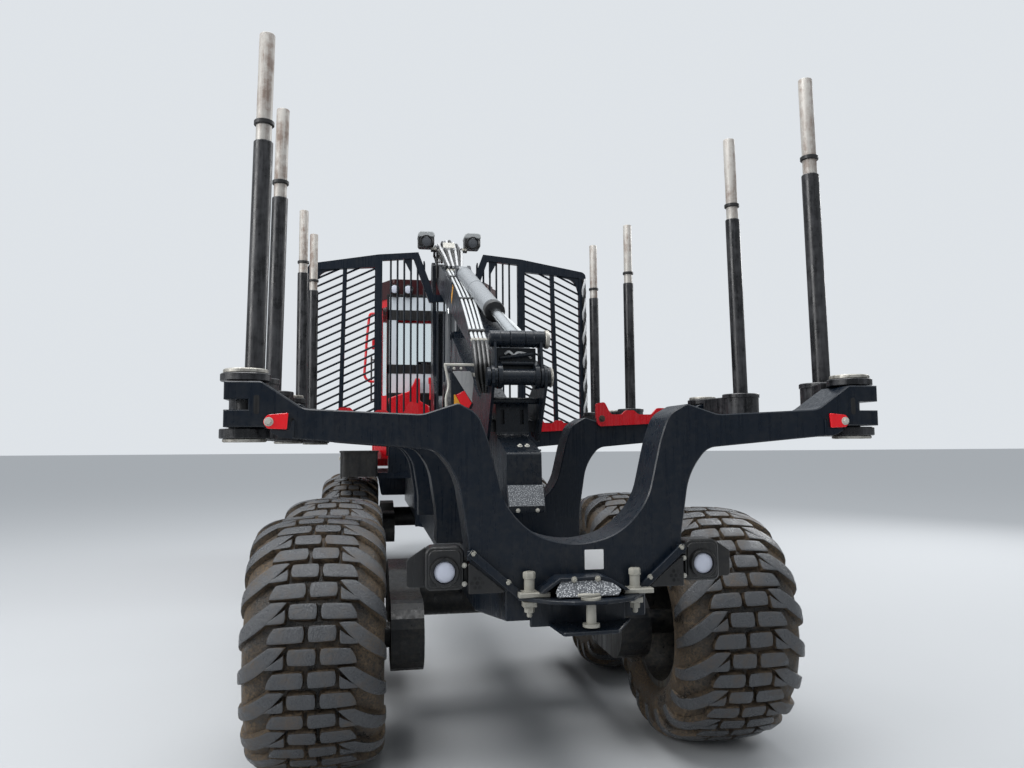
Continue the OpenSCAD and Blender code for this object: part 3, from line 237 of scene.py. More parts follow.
def grid_faces(rows, cols, wrap_rows=False, wrap_cols=False):
    """Four-sided faces of a grid of rows x cols points; a wrapped side joins its own start."""
    r = np.arange(rows if wrap_rows else rows - 1)[:, None]
    c = np.arange(cols if wrap_cols else cols - 1)[None, :]
    r2, c2 = (r + 1) % rows, (c + 1) % cols
    return np.stack([r * cols + c, r * cols + c2, r2 * cols + c2, r2 * cols + c], -1).reshape(-1, 4)


def tube_faces(rings, count):
    """Faces of a tube of rings of count points each, with one more face at either end."""
    last = (rings - 1) * count
    ends = [list(range(count))[::-1], list(range(last, last + count))]
    return grid_faces(rings, count, wrap_cols=True).tolist() + ends


def joined(parts):
    """One (points, faces) from several, the later faces counted on from the earlier points."""
    points, faces, start = [], [], 0
    for p, f in parts:
        points.append(np.asarray(p, float).reshape(-1, 3))
        faces += [tuple(int(i) + start for i in face) for face in f]
        start += len(points[-1])
    return np.vstack(points), faces


def pin_of(joint):
    """Place of a hinge's pin, in whole millimetres with its station as Y."""
    place = next(row["pos_m"] for row in frame["joints"] if row["name"] == joint)
    return np.round(1000 * np.array(place)) - [0, STATION_ZERO, 0]


SHARP_ANGLE = math.radians(35)


def build(name, parts, body, material, values=None):
    """Makes one piece from parts in millimetres and rides it on its body; values is an
    optional number per point for the material to read."""
    points, faces = joined(parts)
    points = (points + [0, STATION_ZERO, 0]) / 1000
    mesh = bpy.data.meshes.new(name)
    mesh.from_pydata(points.tolist(), [], faces)
    if values is not None:
        layer = mesh.attributes.new("lay", "FLOAT", "POINT")
        layer.data.foreach_set("value", values.astype(np.float32))
    mesh.materials.append(material)
    mesh.polygons.foreach_set("use_smooth", np.ones(len(mesh.polygons), bool))
    mesh.set_sharp_from_angle(angle=SHARP_ANGLE)
    mesh.update()
    made = put(name, mesh)
    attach(made, body)
    return made


section_xr = smooth_line(SECTION, 200)
section_w = np.r_[0, np.cumsum(np.linalg.norm(np.diff(section_xr, axis=0), axis=1))]
tangent = np.gradient(section_xr, axis=0)
section_out = unit(np.column_stack([-tangent[:, 1], tangent[:, 0]]))


def on_tyre(w, s, h):
    """Point at w mm from the crown along the section, s pitches round it from the top towards
    the rear, and h mm out of the surface: section(w) + h normal(w), turned by s."""
    side, w = np.sign(w + 1e-9), np.abs(w)
    x = np.interp(w, section_w, section_xr[:, 0]) + h * np.interp(w, section_w, section_out[:, 0])
    r = np.interp(w, section_w, section_xr[:, 1]) + h * np.interp(w, section_w, section_out[:, 1])
    turn = s * 2 * math.pi / LUG_PITCHES
    return np.stack([side * x, -r * np.sin(turn), r * np.cos(turn)], -1)


# Blocks of one pitch on the right half: upper edge, then lower edge, each as (w, s) pairs
BLOCKS = (
    (((-110, 0.0), (18, 0.0)), ((-110, 0.34), (18, 0.36))),
    (((38, 0.0), (180, 0.02)), ((38, 0.36), (212, 0.37))),
    (
        ((196, 0.44), (300, 0.84), (352, 1.08), (425, 1.26)),
        ((116, 0.44), (196, 0.86), (290, 1.22), (420, 1.58)),
    ),
    (((126, 0.62), (132, 0.64)), ((126, 0.92), (222, 0.94))),
)
# A lug's rim in steps inwards: foot, side's top, start of the flat, flat
RIM_INSET = np.array([-7.0, -1.5, 0.0, 5.0])
RIM_DROP = np.array([-46.0, -6.0, -1.5, 0.0])
LUG_FOOT = -9.0
BLOCK_ROUND, LONG_ROUND = 0.15, 0.03


def lug(upper, lower, side, start, rng):
    """Rubber block between two edges: a patch p(a, b) ruled from upper(a) to lower(a), with its
    corners drawn in by a' = a sqrt(1 - k b^2), b' = b sqrt(1 - k a^6) for a, b in -1..1, whose
    rim falls from the worn top over a small round to below the tyre's surface."""
    long_lug = len(upper) > 2
    count = 13 if long_lug else 7
    edge = [smooth_line(e, count) if long_lug else np.linspace(*e, count) for e in (upper, lower)]
    a, b = np.meshgrid(np.linspace(-1, 1, count), np.linspace(-1, 1, 7), indexing="ij")
    k = LONG_ROUND if long_lug else BLOCK_ROUND
    a, b = a * np.sqrt(1 - k * b**2), b * np.sqrt(1 - BLOCK_ROUND * a**6)
    place = (a + 1) / 2 * (count - 1)
    first, last = (np.stack([np.interp(place, np.arange(count), c) for c in e.T], -1) for e in edge)
    patch = first * ((1 - b) / 2)[..., None] + last * ((1 + b) / 2)[..., None]
    patch = np.pad(patch, ((3, 3), (3, 3), (0, 0)), mode="edge")
    rows, cols = patch.shape[:2]
    depth = [np.minimum(np.arange(n), np.arange(n)[::-1]) for n in (rows, cols)]
    ring = np.minimum(np.minimum.outer(*depth), 3)
    pitch_mm = 2 * math.pi * 650 / LUG_PITCHES
    across = patch[:, -1:] - patch[:, :1]
    along = np.gradient(patch, axis=0)
    along[:3], along[-3:] = along[4], along[-5]
    for vector in (across, along):
        vector[..., 1] *= pitch_mm
        vector /= np.linalg.norm(vector, axis=-1, keepdims=True) + 1e-9
    shift = [np.r_[RIM_INSET, np.zeros(n - 8), -RIM_INSET[::-1]] for n in (rows, cols)]
    near = along * shift[0][:, None, None] + across * shift[1][None, :, None]
    near[..., 1] /= pitch_mm
    patch = patch + near
    top = np.interp(np.abs(patch[..., 0]), [0, 250, 330, 380, 430], [40, 36, 30, 16, 6])
    top = top + rng.uniform(-1.5, 1.0)
    height = np.where(ring == 0, LUG_FOOT, np.maximum(top + RIM_DROP[ring], LUG_FOOT))
    points = on_tyre(side * patch[..., 0], patch[..., 1] + start, height)
    faces = grid_faces(rows, cols)
    row, col = np.arange(rows) * cols, np.arange(cols)
    rim = np.r_[col, (row + cols - 1)[1:], (row[-1] + col[::-1])[1:], row[::-1][1:-1]]
    faces = faces if side > 0 else faces[:, ::-1]
    rim = rim[::-1] if side > 0 else rim
    return points.reshape(-1, 3), [*faces.tolist(), rim.tolist()], (ring > 1).ravel().astype(float)


def tyre(seed):
    """Tyre about its own axis: the section turned round the axis, with mud 0-7 mm thick in the
    grooves as a sum of sines, and the lugs of every pitch on it."""
    rng = np.random.default_rng(seed)
    w = np.linspace(-section_w[-1], section_w[-1], 61)
    s = np.linspace(0, LUG_PITCHES, 160, endpoint=False)
    ws, ss = np.meshgrid(w, s, indexing="ij")
    waves = zip((0.021, 0.043, 0.09), (2.2, 5.0, 9.1), rng.uniform(0, 6, 3), rng.uniform(0, 6, 3))
    mud = sum(np.sin(ws * f + p) * np.sin(ss * g + q) for f, g, p, q in waves)
    crown = np.interp(np.abs(ws), [0, 300, 380], [1.0, 1.0, 0.0])
    shell = on_tyre(ws, ss, (mud + 1.2) * 2.6 * crown)
    # The bead runs in to the rim's flange and closes behind it
    inner = shell[[0, -1]] * 0.93
    rings = np.concatenate([inner[:1], shell, inner[1:]])
    parts = [(rings, grid_faces(*rings.shape[:2], wrap_rows=True, wrap_cols=True))]
    groove = np.interp(np.abs(w), [0, 200, 330], [0.6, 0.55, 0.0])
    raised = [np.repeat(np.r_[0.0, groove, 0.0], len(s))]
    for i in range(LUG_PITCHES):
        for side in (1, -1):
            for upper, lower in BLOCKS:
                p, f, lay = lug(upper, lower, side, i + (0.5 if side < 0 else 0.0), rng)
                parts.append((p, f))
                raised.append(lay)
    return parts, np.concatenate(raised)


def lathe(profile, count=48, closed=False):
    """Profile of (along X, radius) pairs turned round the X axis: (x, r cos t, r sin t)."""
    profile = np.asarray(profile, float)
    t = np.linspace(0, 2 * math.pi, count, endpoint=False)
    x = np.repeat(profile[:, :1], count, 1)
    points = np.stack([x, profile[:, 1:] * np.cos(t), profile[:, 1:] * np.sin(t)], -1)
    rings = len(profile)
    faces = grid_faces(rings, count, True, True) if closed else tube_faces(rings, count)
    return points.reshape(-1, 3), faces


def hexagon(x0, x1, r):
    """Bolt head of six sides along X with a small round at its outer rim."""
    return lathe([(x0, r), (x1 - r * 0.18, r), (x1, r * 0.86)], 6)


def moved(part, shift=(0, 0, 0), turn=None, flip=False):
    """Part turned by a 3 x 3 matrix, mirrored in X where flip is set, and shifted."""
    p, f = part
    p = np.asarray(p, float).reshape(-1, 3)
    if turn is not None:
        p = p @ np.asarray(turn).T
    if flip:
        p, f = p * [-1, 1, 1], [list(face)[::-1] for face in f]
    return p + shift, f


def about_x(degrees):
    """Turn about the X axis."""
    a = math.radians(degrees)
    return np.array([[1, 0, 0], [0, math.cos(a), -math.sin(a)], [0, math.sin(a), math.cos(a)]])


def rubber():
    """Moulded natural rubber, pale grey on the lug tops as worn rubber and as a painted highlight
    of the wet tops, with tan mud dried in the grooves and splashed on the side walls in 170 mm
    patches of 11 mm grains."""
    material, tree = new_tree("moulded_rubber_with_dried_mud")
    where = add(tree, "TexCoord").outputs["Object"]
    lay = add(tree, "Attribute", attribute_name="lay").outputs["Fac"]
    patches = add(tree, "TexNoise", {"Vector": where, "Scale": 1000 / 166.7, "Detail": 9, "Roughness": 0.72})
    grain = add(tree, "TexNoise", {"Vector": where, "Scale": 1000 / 11.11, "Detail": 6, "Roughness": 0.75})
    cover = add(tree, "Math", [lay, -0.2, patches], operation="MULTIPLY_ADD")
    share = add(tree, "MapRange", [cover, 0.3, 0.56])
    spots = add(tree, "MapRange", [grain, 0.36, 0.6])
    muddy = add(tree, "Math", [share, spots], operation="MULTIPLY")
    top = add(tree, "MapRange", [lay, 0.7])
    colours = {"Factor": grain, 6: linear("#33291d"), 7: linear("#86725a")}
    mud = add(tree, "Mix", colours, data_type="RGBA").outputs[2]
    # Painted highlight: the lug tops are mixed towards pale grey, partly for wear and partly for the sheen
    # of the wet tops
    colours = {"Factor": top, 6: linear("#100f0e"), 7: linear("#434548")}
    worn_and_highlit_tops = add(tree, "Mix", colours, data_type="RGBA").outputs[2]
    mixed = add(tree, "Mix", {"Factor": muddy, 6: worn_and_highlit_tops, 7: mud}, data_type="RGBA")
    sheen = add(tree, "MapRange", [patches, 0.38, 0.62, 0.12, 0.55])
    gloss = add(tree, "MapRange", [muddy, 0, 1, sheen, 0.95])
    height = add(tree, "Math", [grain, patches], operation="ADD")
    bump = add(tree, "Bump", {"Height": height, "Strength": 0.9, "Distance": 0.006})
    inputs = {"Base Color": mixed.outputs[2], "Roughness": gloss, "Normal": bump}
    add(tree, "OutputMaterial", [add(tree, "BsdfPrincipled", inputs)])
    return material


tyre_rubber = rubber()
# Satin paint under more dust than anywhere else, so the rims look dry and brown
rim_paint = paint("satin_black_sprayed_rim_paint", "#121315", 0.45, 0.6, low=0.2, high=1.6)
# Rim's section, across and radius: flanges, well, disc and hub
RIM = [
    (-292, 334), (-292, 372), (-280, 372), (-268, 350), (-200, 342), (-120, 318), (60, 318), (90, 322),
    (200, 342), (268, 350), (280, 372), (292, 372), (292, 334), (200, 326), (150, 304), (148, 262),
    (136, 236), (126, 170), (150, 150), (222, 146), (232, 132), (232, 66), (62, 66), (62, 150), (96, 172),
    (106, 236), (118, 262), (122, 300), (60, 302), (-120, 302), (-200, 326),
]
WHEEL_NUTS, NUT_CIRCLE, VALVE_AT = 12, 206, 286


def rim():
    """Rim, disc and hub in one, with the wheel nuts on their studs and the valve."""
    parts = [lathe(RIM, 64, closed=True)]
    washer, stud = lathe([(128, 22), (134, 22), (134, 19)], 16), lathe([(150, 9), (172, 9)], 10)
    nut = joined([washer, hexagon(133, 158, 17), stud])
    for i in range(WHEEL_NUTS):
        parts.append(moved(moved(nut, (0, 0, NUT_CIRCLE)), turn=about_x(i * 360 / WHEEL_NUTS)))
    parts.append(moved(lathe([(150, 6), (196, 6), (200, 4)], 10), (0, 0, VALVE_AT)))
    return joined(parts)


wheel_rim = rim()
for i, axle in enumerate(AXLES):
    for j, (side_name, side) in enumerate((("left", -1), ("right", 1))):
        end = f"{axle}_{side_name}"
        body = f"wheel_{end}_body"
        centre = pin_of(f"wheel_{end}_roll")
        parts, raised = tyre(10 * i + j)
        spin = about_x(7.0 * i + 3.0 * j)
        whole = moved(joined(parts), centre, spin, flip=side < 0)
        piece = build(f"tyre_{end}", [whole], body, tyre_rubber, values=raised)
        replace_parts(piece, f"wheel_{end}")
        placed_rim = moved(wheel_rim, centre, spin, flip=side < 0)
        build(f"rim_{end}", [placed_rim], body, rim_paint)

# Bolsters
# Four flame-cut steel cradles across the rear frame, painted and wet, with chamfered edges.
# Each is one outline drawn out along the machine; the rear one carries two red reflectors.


def rounded(corners, count=10):
    """Outline from (across, up, radius) corners: the arc of that radius that touches both of a
    corner's sides takes the corner's place."""
    result = []
    for i, (x, y, r) in enumerate(corners):
        q = np.array([x, y], float)
        if not r:
            result.append(q)
            continue
        a, b = (unit(np.array(corners[(i + k) % len(corners)][:2]) - q) for k in (-1, 1))
        half = math.acos(np.clip(a @ b, -1, 1)) / 2
        centre = q + unit(a + b) * r / math.sin(half)
        first, last = (q + side * r / math.tan(half) - centre for side in (a, b))
        start = math.atan2(first[1], first[0])
        sweep = (math.atan2(last[1], last[0]) - start + math.pi) % (2 * math.pi) - math.pi
        t = start + sweep * np.linspace(0, 1, count + 1)
        result += list(centre + r * np.column_stack([np.cos(t), np.sin(t)]))
    return np.array(result)


def plate(outline, low, high, axis, bevel=3.0):
    """Outline drawn out from low to high along an axis (0, 1, 2), with chamfered rims: the
    first and last ring lie one bevel inside it. Its pairs are the other two axes in order."""
    outline = np.asarray(outline, float)
    following = np.roll(outline, -1, 0)
    if np.sum(outline[:, 0] * following[:, 1] - following[:, 0] * outline[:, 1]) < 0:
        outline = outline[::-1]
    steps = np.roll(outline, -1, 0) - outline
    inward = unit(np.column_stack([-steps[:, 1], steps[:, 0]]))
    before = np.roll(inward, 1, 0)
    mitre = (inward + before) / np.maximum(1 + np.sum(inward * before, 1), 0.3)[:, None]
    small = outline + bevel * mitre
    rings = ((small, low), (outline, low + bevel), (outline, high - bevel), (small, high))
    points = np.vstack([np.insert(o, axis, w, axis=1) for o, w in rings])
    faces = tube_faces(4, len(outline))
    return points, [face[::-1] for face in faces] if axis == 1 else faces


def towards(direction):
    """Turn that takes the X axis to a direction."""
    along = unit(direction)
    side = unit(np.cross([0, 0, 1] if abs(along[2]) < 0.9 else [0, 1, 0], along))
    return np.column_stack([along, side, np.cross(along, side)])


REARWARD, UPWARD = (0, -1, 0), (0, 0, 1)


def turned(profile, at, count=36, facing=REARWARD):
    """Profile of (height, radius) pairs turned round an axis that faces away from a point."""
    return moved(lathe(profile, count), at, towards(facing))


def bolt(at, r=12.0, facing=REARWARD):
    """Washer and hexagon head of radius r on a face that looks in a direction."""
    washer = lathe([(0, 1.5 * r), (0.16 * r, 1.5 * r), (0.22 * r, 1.42 * r)], 20)
    return moved(joined([washer, hexagon(0.2 * r, r, r)]), at, towards(facing))


def both_sides(parts):
    """The parts with their mirror images."""
    return [*parts, *[moved(part, flip=True) for part in parts]]


REAR, FRONT = "rear_section", "front_section"


def on_rear(name, parts, material):
    """Piece of the rear section with its mirror image."""
    return build(name, both_sides(parts), REAR, material)


# Right half of a bolster: across, up, blend radius
CRADLE = [
    (450, 1130, 0), (450, 1300, 800), (498, 1600, 300), (585, 1706, 90), (1160, 1755, 60), (1215, 1776, 0),
    (1240, 1800, 0), (1410, 1800, 0), (1410, 1868, 0), (1318, 1868, 0), (1318, 1908, 0), (1410, 1908, 0),
    (1410, 1980, 0), (1270, 1980, 30), (1110, 1872, 90), (640, 1850, 120), (495, 1897, 30), (412, 1852, 105),
    (372, 1749, 700), (308, 1480, 290), (180, 1345, 290), (0, 1307, 340),
]
BOLSTER_Y = (0.0, 1630.0, 3580.0, 4300.0)
BOLSTER_DEPTH = 220
cradle = rounded([*CRADLE, *[(-x, z, r) for x, z, r in CRADLE[-2::-1]]])
cradles = [plate(cradle, y, y + BOLSTER_DEPTH, 1, 5) for y in BOLSTER_Y]
cradles = build("cradles", cradles, REAR, frame_paint)
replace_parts(cradles, "bolsters")
# Painted shade: black, matt plates and discs stand in for the dark inside slots and holes
painted_recess_shade = paint("painted_shade_in_recess", "#050506", 0.8, 0.0)
slot = rounded([(1275, 1850, 10), (1297, 1850, 10), (1297, 1925, 10), (1275, 1925, 10)], 6)
hole = turned([(-0.6, 8), (0.5, 9)], (1151, 0, 1827), 20)
on_rear("bolster_slots", [plate(slot, -0.8, 2, 1, 0.4), hole], painted_recess_shade)

# Smooth red acrylic under a clear face, and dull grey plating with dust in it
reflector = paint("moulded_red_reflector", "#e5101d", 0.2, 0.0, coat=0.6)
zinc = paint("dull_zinc_plated_steel", "#b9b7ae", 0.36, 0.35)
tag = rounded([(1243, 1793, 16), (1262, 1820, 18), (1243, 1847, 16), (1164, 1855, 5), (1169, 1790, 5)], 6)
on_rear("reflectors", [plate(tag, -9, -1, 1, 1.5)], reflector)
on_rear("reflector_bolts", [bolt((1238, -9, 1820))], zinc)
shelf = [(1250, 1790, 6), (1158, 1786, 10), (1150, 1830, 8), (1140, 1828, 8)]
shelf = rounded([*shelf, (1142, 1752, 12), (1196, 1760, 30)])
on_rear("reflector_shelves", [plate(shelf, -6, 0, 1, 1.5)], frame_paint)

# Guards
# Wavy flame-cut plates in red paint that keep the logs off the middle bolsters' arms. The CAD
# plates stay, and the bolts that hold them are added.

GUARD_FACE, GUARD_BOLT_Z = -22.3, 1888
# Gloss paint under a clear coat has sharp highlights; the oiled bolts stay dark and dull
red_paint = paint("gloss_red_sprayed_body_paint", "#c20d1c", 0.28, 0.14, coat=0.3)
dark_bolts = paint("oiled_black_steel_bolts", "#3a3128", 0.45, 0.5)
dress(red_paint, "bolster_guards")
guard_bolts = [(x, y + GUARD_FACE, GUARD_BOLT_Z) for y in BOLSTER_Y[1:3] for x in (600, 990)]
on_rear("guard_bolts", [bolt(at, 14) for at in guard_bolts], dark_bolts)

# Stakes
# Eight log stakes on swing arms: black painted lower tubes, pale bark-stained aluminium
# extensions under a clamp ring, in drums that end the welded arms. All turned or drawn out.


def streaked(name, base, streak, amount, rough, metal=0.0, fine=1.0):
    """Upright surface with rain and bark streaks: noise 29 mm wide, drawn out 14 times along
    Z, times spots of 111 mm, picks between two colours and dulls the gloss."""
    material, tree = new_tree(name)
    where = add(tree, "TexCoord").outputs["Object"]
    drawn = add(tree, "Mapping", {"Vector": where, "Scale": (1.0, 1.0, 0.07)})
    lines = {"Vector": drawn, "Scale": 1000 / 29.41 * fine, "Detail": 6, "Roughness": 0.7}
    spots = {"Vector": where, "Scale": 1000 / 111.1, "Detail": 7, "Roughness": 0.75}
    both = [add(tree, "TexNoise", lines), add(tree, "TexNoise", spots)]
    both = add(tree, "Math", both, operation="MULTIPLY")
    share = add(tree, "MapRange", [both, 0.2, 0.34, 0, amount])
    colours = {"Factor": share, 6: linear(base), 7: linear(streak)}
    mixed = add(tree, "Mix", colours, data_type="RGBA")
    gloss = add(tree, "MapRange", [share, 0, 1, rough, 0.8])
    bump = add(tree, "Bump", {"Height": both, "Strength": 0.35, "Distance": 0.004})
    inputs = {"Base Color": mixed.outputs[2], "Roughness": gloss, "Metallic": metal, "Normal": bump}
    add(tree, "OutputMaterial", [add(tree, "BsdfPrincipled", inputs)])
    return material


# Wet paint with pale rain streaks, drawn tube with brown stains, pale grey steel discs whose
# paleness is partly a painted sky reflection on their faces, and dull rubber
stake_paint = streaked("rain_streaked_black_stake_paint", "#0d0e11", "#4a4a4d", 0.5, 0.26)
stake_tube = streaked("bark_stained_drawn_aluminium", "#b4b0aa", "#6b5142", 0.75, 0.45, 0.35, 0.7)
disc_steel_and_sky_sheen = streaked("pale_steel_disc_with_painted_sky_reflection", "#b5b2aa", "#57534c", 0.8, 0.38, 0.6)
ring_rubber = paint("moulded_black_rubber_ring", "#141416", 0.6, 0.2)


def upright(profile, x=0.0, y=0.0, count=40):
    """Profile of (height, radius) pairs turned round an upright axis."""
    return turned(profile, (x, y, 0), count, UPWARD)


def bar(p, q, r, count=24, bevel=2.0):
    """Round bar from p to q with chamfered ends."""
    p, q = np.asarray(p, float), np.asarray(q, float)
    run = np.linalg.norm(q - p)
    return turned([(0, r - bevel), (bevel, r), (run - bevel, r), (run, r - bevel)], p, count, q - p)


# Outward offset of each pair's drums, left and right, and the lean of the two rear pairs
DRUM_OUT = ((25, 110), (45, 75), (65, 25), (37, -80))
STAKE_LEAN = (1.0, 1.0, 0.0, 0.0)
ARM_REACH, STAKE_FOOT = 400, 2010
DRUM = [
    (1756, 102), (1760, 107), (2004, 107), (2006, 112), (2026, 112),
    (2030, 108), (2030, 74), (2022, 70), (2022, 46),
]
for i in range(len(BOLSTER_Y)):
    for j, (side_name, side) in enumerate((("left", -1), ("right", 1))):
        out, way, lean = DRUM_OUT[i][j], 1 if i == 0 else -1, math.radians(STAKE_LEAN[i])
        name = f"stake_{i + 1}_{side_name}"
        body = f"{name}_body"
        pin_x, pin_y, _ = pin_of(f"{name}_swing")

        def placed(part, tilt=False):
            """Part in the arm's own frame, mirrored for its side and way, at its pin."""
            p, f = part
            p = np.asarray(p, float)
            if tilt:
                p = p + [out, ARM_REACH, 0]
                p = p + np.outer(p[:, 2] - STAKE_FOOT, [-math.tan(lean), 0, 0])
            p = p * [side, way, 1] + [pin_x, pin_y, 0]
            return p, [list(face)[::-1] for face in f] if side * way < 0 else f

        arm = []
        for z0, z1 in ((1756, 1795), (1985, 2016)):
            blade = [(-68, 0), (68, 0), (out + 72, ARM_REACH), (out - 72, ARM_REACH)]
            arm.append(upright([(z0, 95), (z0 + 3, 98), (z1 - 3, 98), (z1, 95)]))
            arm.append(plate(blade, z0 + 1, z1 - 1, 2, 4))
        web = [(-58, 141), (68, 141), (out + 70, ARM_REACH), (out - 70, ARM_REACH)]
        arm.append(plate(web, 1758, 2014, 2, 4))
        arm.append(upright(DRUM, out, ARM_REACH, 48))
        arm.append(bar((0, 0, 1745), (0, 0, 2032), 40, 32))
        arm = [placed(part) for part in arm]
        arm.append(placed(upright([(2012, 44), (3136, 44), (3140, 41), (3140, 36)]), True))
        discs = [[(2016, 82), (2020, 87), (2031, 87), (2035, 82)]]
        discs.append([(1741, 80), (1744, 85), (1753, 85), (1756, 80)])
        top = upright([(3100, 36), (3656, 36), (3660, 34), (3660, 29), (3620, 28)])
        ring = upright([(3218, 37), (3218, 43), (3221, 46), (3237, 46), (3240, 43), (3240, 37)])
        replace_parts(build(f"{name}_arm_and_tube", arm, body, stake_paint), name)
        build(f"{name}_extension", [placed(top, True)], body, stake_tube)
        # Painted reflection: the discs are pale grey to stand in for the sky on their faces
        build(f"{name}_discs", [placed(upright(disc)) for disc in discs], body, disc_steel_and_sky_sheen)
        build(f"{name}_ring", [placed(ring, True)], body, ring_rubber)

# Rear frame
# Welded box beam whose floor rises towards the tail, with a round neck and the upright barrel
# of the steering pivot at its front. Same satin blue-black paint, dull with splashes below.


def slab(low, high, bevel=3.0):
    """Block between two corners with its long edges chamfered."""
    (x0, y0, z0), (x1, y1, z1) = low, high
    return plate([(x0, z0), (x1, z0), (x1, z1), (x0, z1)], y0, y1, 1, bevel)


BEAM_TOP = round(1000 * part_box("bolsters")[0][2])
BEAM_FLOOR, TAIL_FLOOR = 850, 1006
AXLE_Y = (pin_of("wheel_rear_aft_left_roll") + pin_of("wheel_rear_fore_left_roll"))[1] / 2
AXLE_Z, AXLE_NOTCH_R = 740, 130
PIVOT_Y = pin_of("steering")[1]
notch = [math.radians(a) for a in range(123, 56, -6)]
notch = [(AXLE_Y + AXLE_NOTCH_R * math.cos(a), AXLE_Z + AXLE_NOTCH_R * math.sin(a)) for a in notch]
beam = [(30, BEAM_TOP), (30, TAIL_FLOOR), (1000, BEAM_FLOOR), (2022, BEAM_FLOOR), *notch]
beam += [(2160, BEAM_FLOOR), (5950, BEAM_FLOOR), (5950, BEAM_TOP)]
barrel = [(800, 45.5), (800, 112), (804, 115), (1166, 115), (1170, 112), (1170, 45.5)]
beams = [
    plate(beam, -300, 300, 0, 6),
    bar((0, 5949, 990), (0, 6140, 990), 175, 48, 4),
    slab((-90, 6100, 870), (90, 6190, 1110), 4),
    moved(lathe(barrel, 48, closed=True), (0, PIVOT_Y, 0), towards(UPWARD)),
]
beams = build("rear_frame_beam", beams, REAR, frame_paint)
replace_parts(beams, "rear_frame")

# Tail
# Moulded lamp boxes with frosted lenses on their brackets, flat braces, and the tow hitch of
# black plates with plated studs, a dropped-in pin and a grained grey step cover.


def hose(points, r, count=10, steps=24):
    """Round tube swept along a smooth curve through the points: each ring stands square to the
    curve and is turned as little as can be from the one before."""
    line = smooth_line(points, steps)
    along = unit(np.gradient(line, axis=0))
    t = np.linspace(0, 2 * math.pi, count, endpoint=False)[:, None]
    side = np.cross(along[0], (0.31, 0.17, 0.94))
    rings = []
    for p, d in zip(line, along):
        side = unit(side - d * (side @ d))
        rings.append(p + r * (np.cos(t) * side + np.sin(t) * np.cross(d, side)))
    return np.vstack(rings), tube_faces(steps, count)


def grained(name, colour, speck):
    """Moulded grained sheet: cells 7 mm apart raise pale humps over a darker ground."""
    material, tree = new_tree(name)
    where = add(tree, "TexCoord").outputs["Object"]
    cells = add(tree, "TexVoronoi", {"Vector": where, "Scale": 1000 / 7.143})
    share = add(tree, "MapRange", [cells, 0.18, 0.55])
    colours = {"Factor": share, 6: linear(colour), 7: linear(speck)}
    mixed = add(tree, "Mix", colours, data_type="RGBA").outputs[2]
    bump = add(tree, "Bump", {"Height": share, "Strength": 0.8, "Distance": 0.003})
    shader = add(tree, "BsdfPrincipled", {"Base Color": mixed, "Roughness": 0.5, "Normal": bump})
    add(tree, "OutputMaterial", [shader])
    return material


# Moulded plastic is dark with a soft gloss, frosted acrylic is pale, and the zinc is dusty
plastic = paint("moulded_black_plastic", "#0f1012", 0.42, 0.15)
lens = paint("frosted_acrylic_lens", "#b9bdca", 0.25, 0.1)
plated = paint("yellow_zinc_plated_steel", "#95938a", 0.32, 0.45)
TAIL_LAMP, BRACKET_HOLES, PLATE_LAMP = (551, 8, 1216), (421, -14.2, 1172), (423, 52, 1184)
box = rounded([(470, 1142, 24), (628, 1142, 24), (628, 1316, 34), (470, 1316, 34)], 8)
pan = rounded([(483, 1155, 18), (615, 1155, 18), (615, 1303, 26), (483, 1303, 26)], 8)
fin = rounded([(624, 1150, 0), (700, 1150, 15), (700, 1260, 15), (624, 1310, 0)], 6)
gusset = rounded([(456, 1255, 4), (300, 1129, 6), (456, 1129, 4)], 4)
boxes = [
    plate(box, 14, 110, 1, 6),
    plate(pan, 8, 20, 1, 3),
    plate(fin, 60, 76, 1, 2),
    slab((448, 40, 1160), (482, 90, 1262)),
    plate(gusset, -14, -1, 1, 2),
    turned([(0, 60), (10, 60), (16, 56), (17, 47), (6, 43), (0, 43)], TAIL_LAMP, 40),
]
boxes = build("tail_lamp_boxes", both_sides(boxes), REAR, plastic)
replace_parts(boxes, "tail_lamps")
dome = turned([(0, 42), (6, 42), (11, 36), (14, 22), (15, 6), (15, 1)], TAIL_LAMP, 40)
on_rear("tail_lamp_lenses", [dome], lens)
small = turned([(0, 30), (8, 30), (12, 26), (12, 20), (9, 18), (9, 1)], PLATE_LAMP, 32)
build("number_plate_lamp", [small], REAR, plastic)
on_rear("tail_lamp_bolts", [bolt((470, 14, z), 7) for z in (1239, 1165)], zinc)
# Painted shade: the bracket's seven holes are black discs
holes = [(0, 0, 0)] + [(21 * math.cos(a), 0, 21 * math.sin(a)) for a in np.radians(range(0, 360, 60))]
holes = [turned([(-0.5, 7), (0.5, 7.5)], np.add(BRACKET_HOLES, at), 16) for at in holes]
on_rear("bracket_holes", holes, painted_recess_shade)
brace = plate([(464, 1284), (443, 1308), (236, 1128), (256, 1104)], -38, -20, 1, 3)
on_rear("tail_braces", [brace, slab((430, -24, 1262), (462, 2, 1300))], frame_paint)
on_rear("brace_bolts", [bolt((x, -36, z), 9) for x, z in ((300, 1172), (440, 1290))], plated)

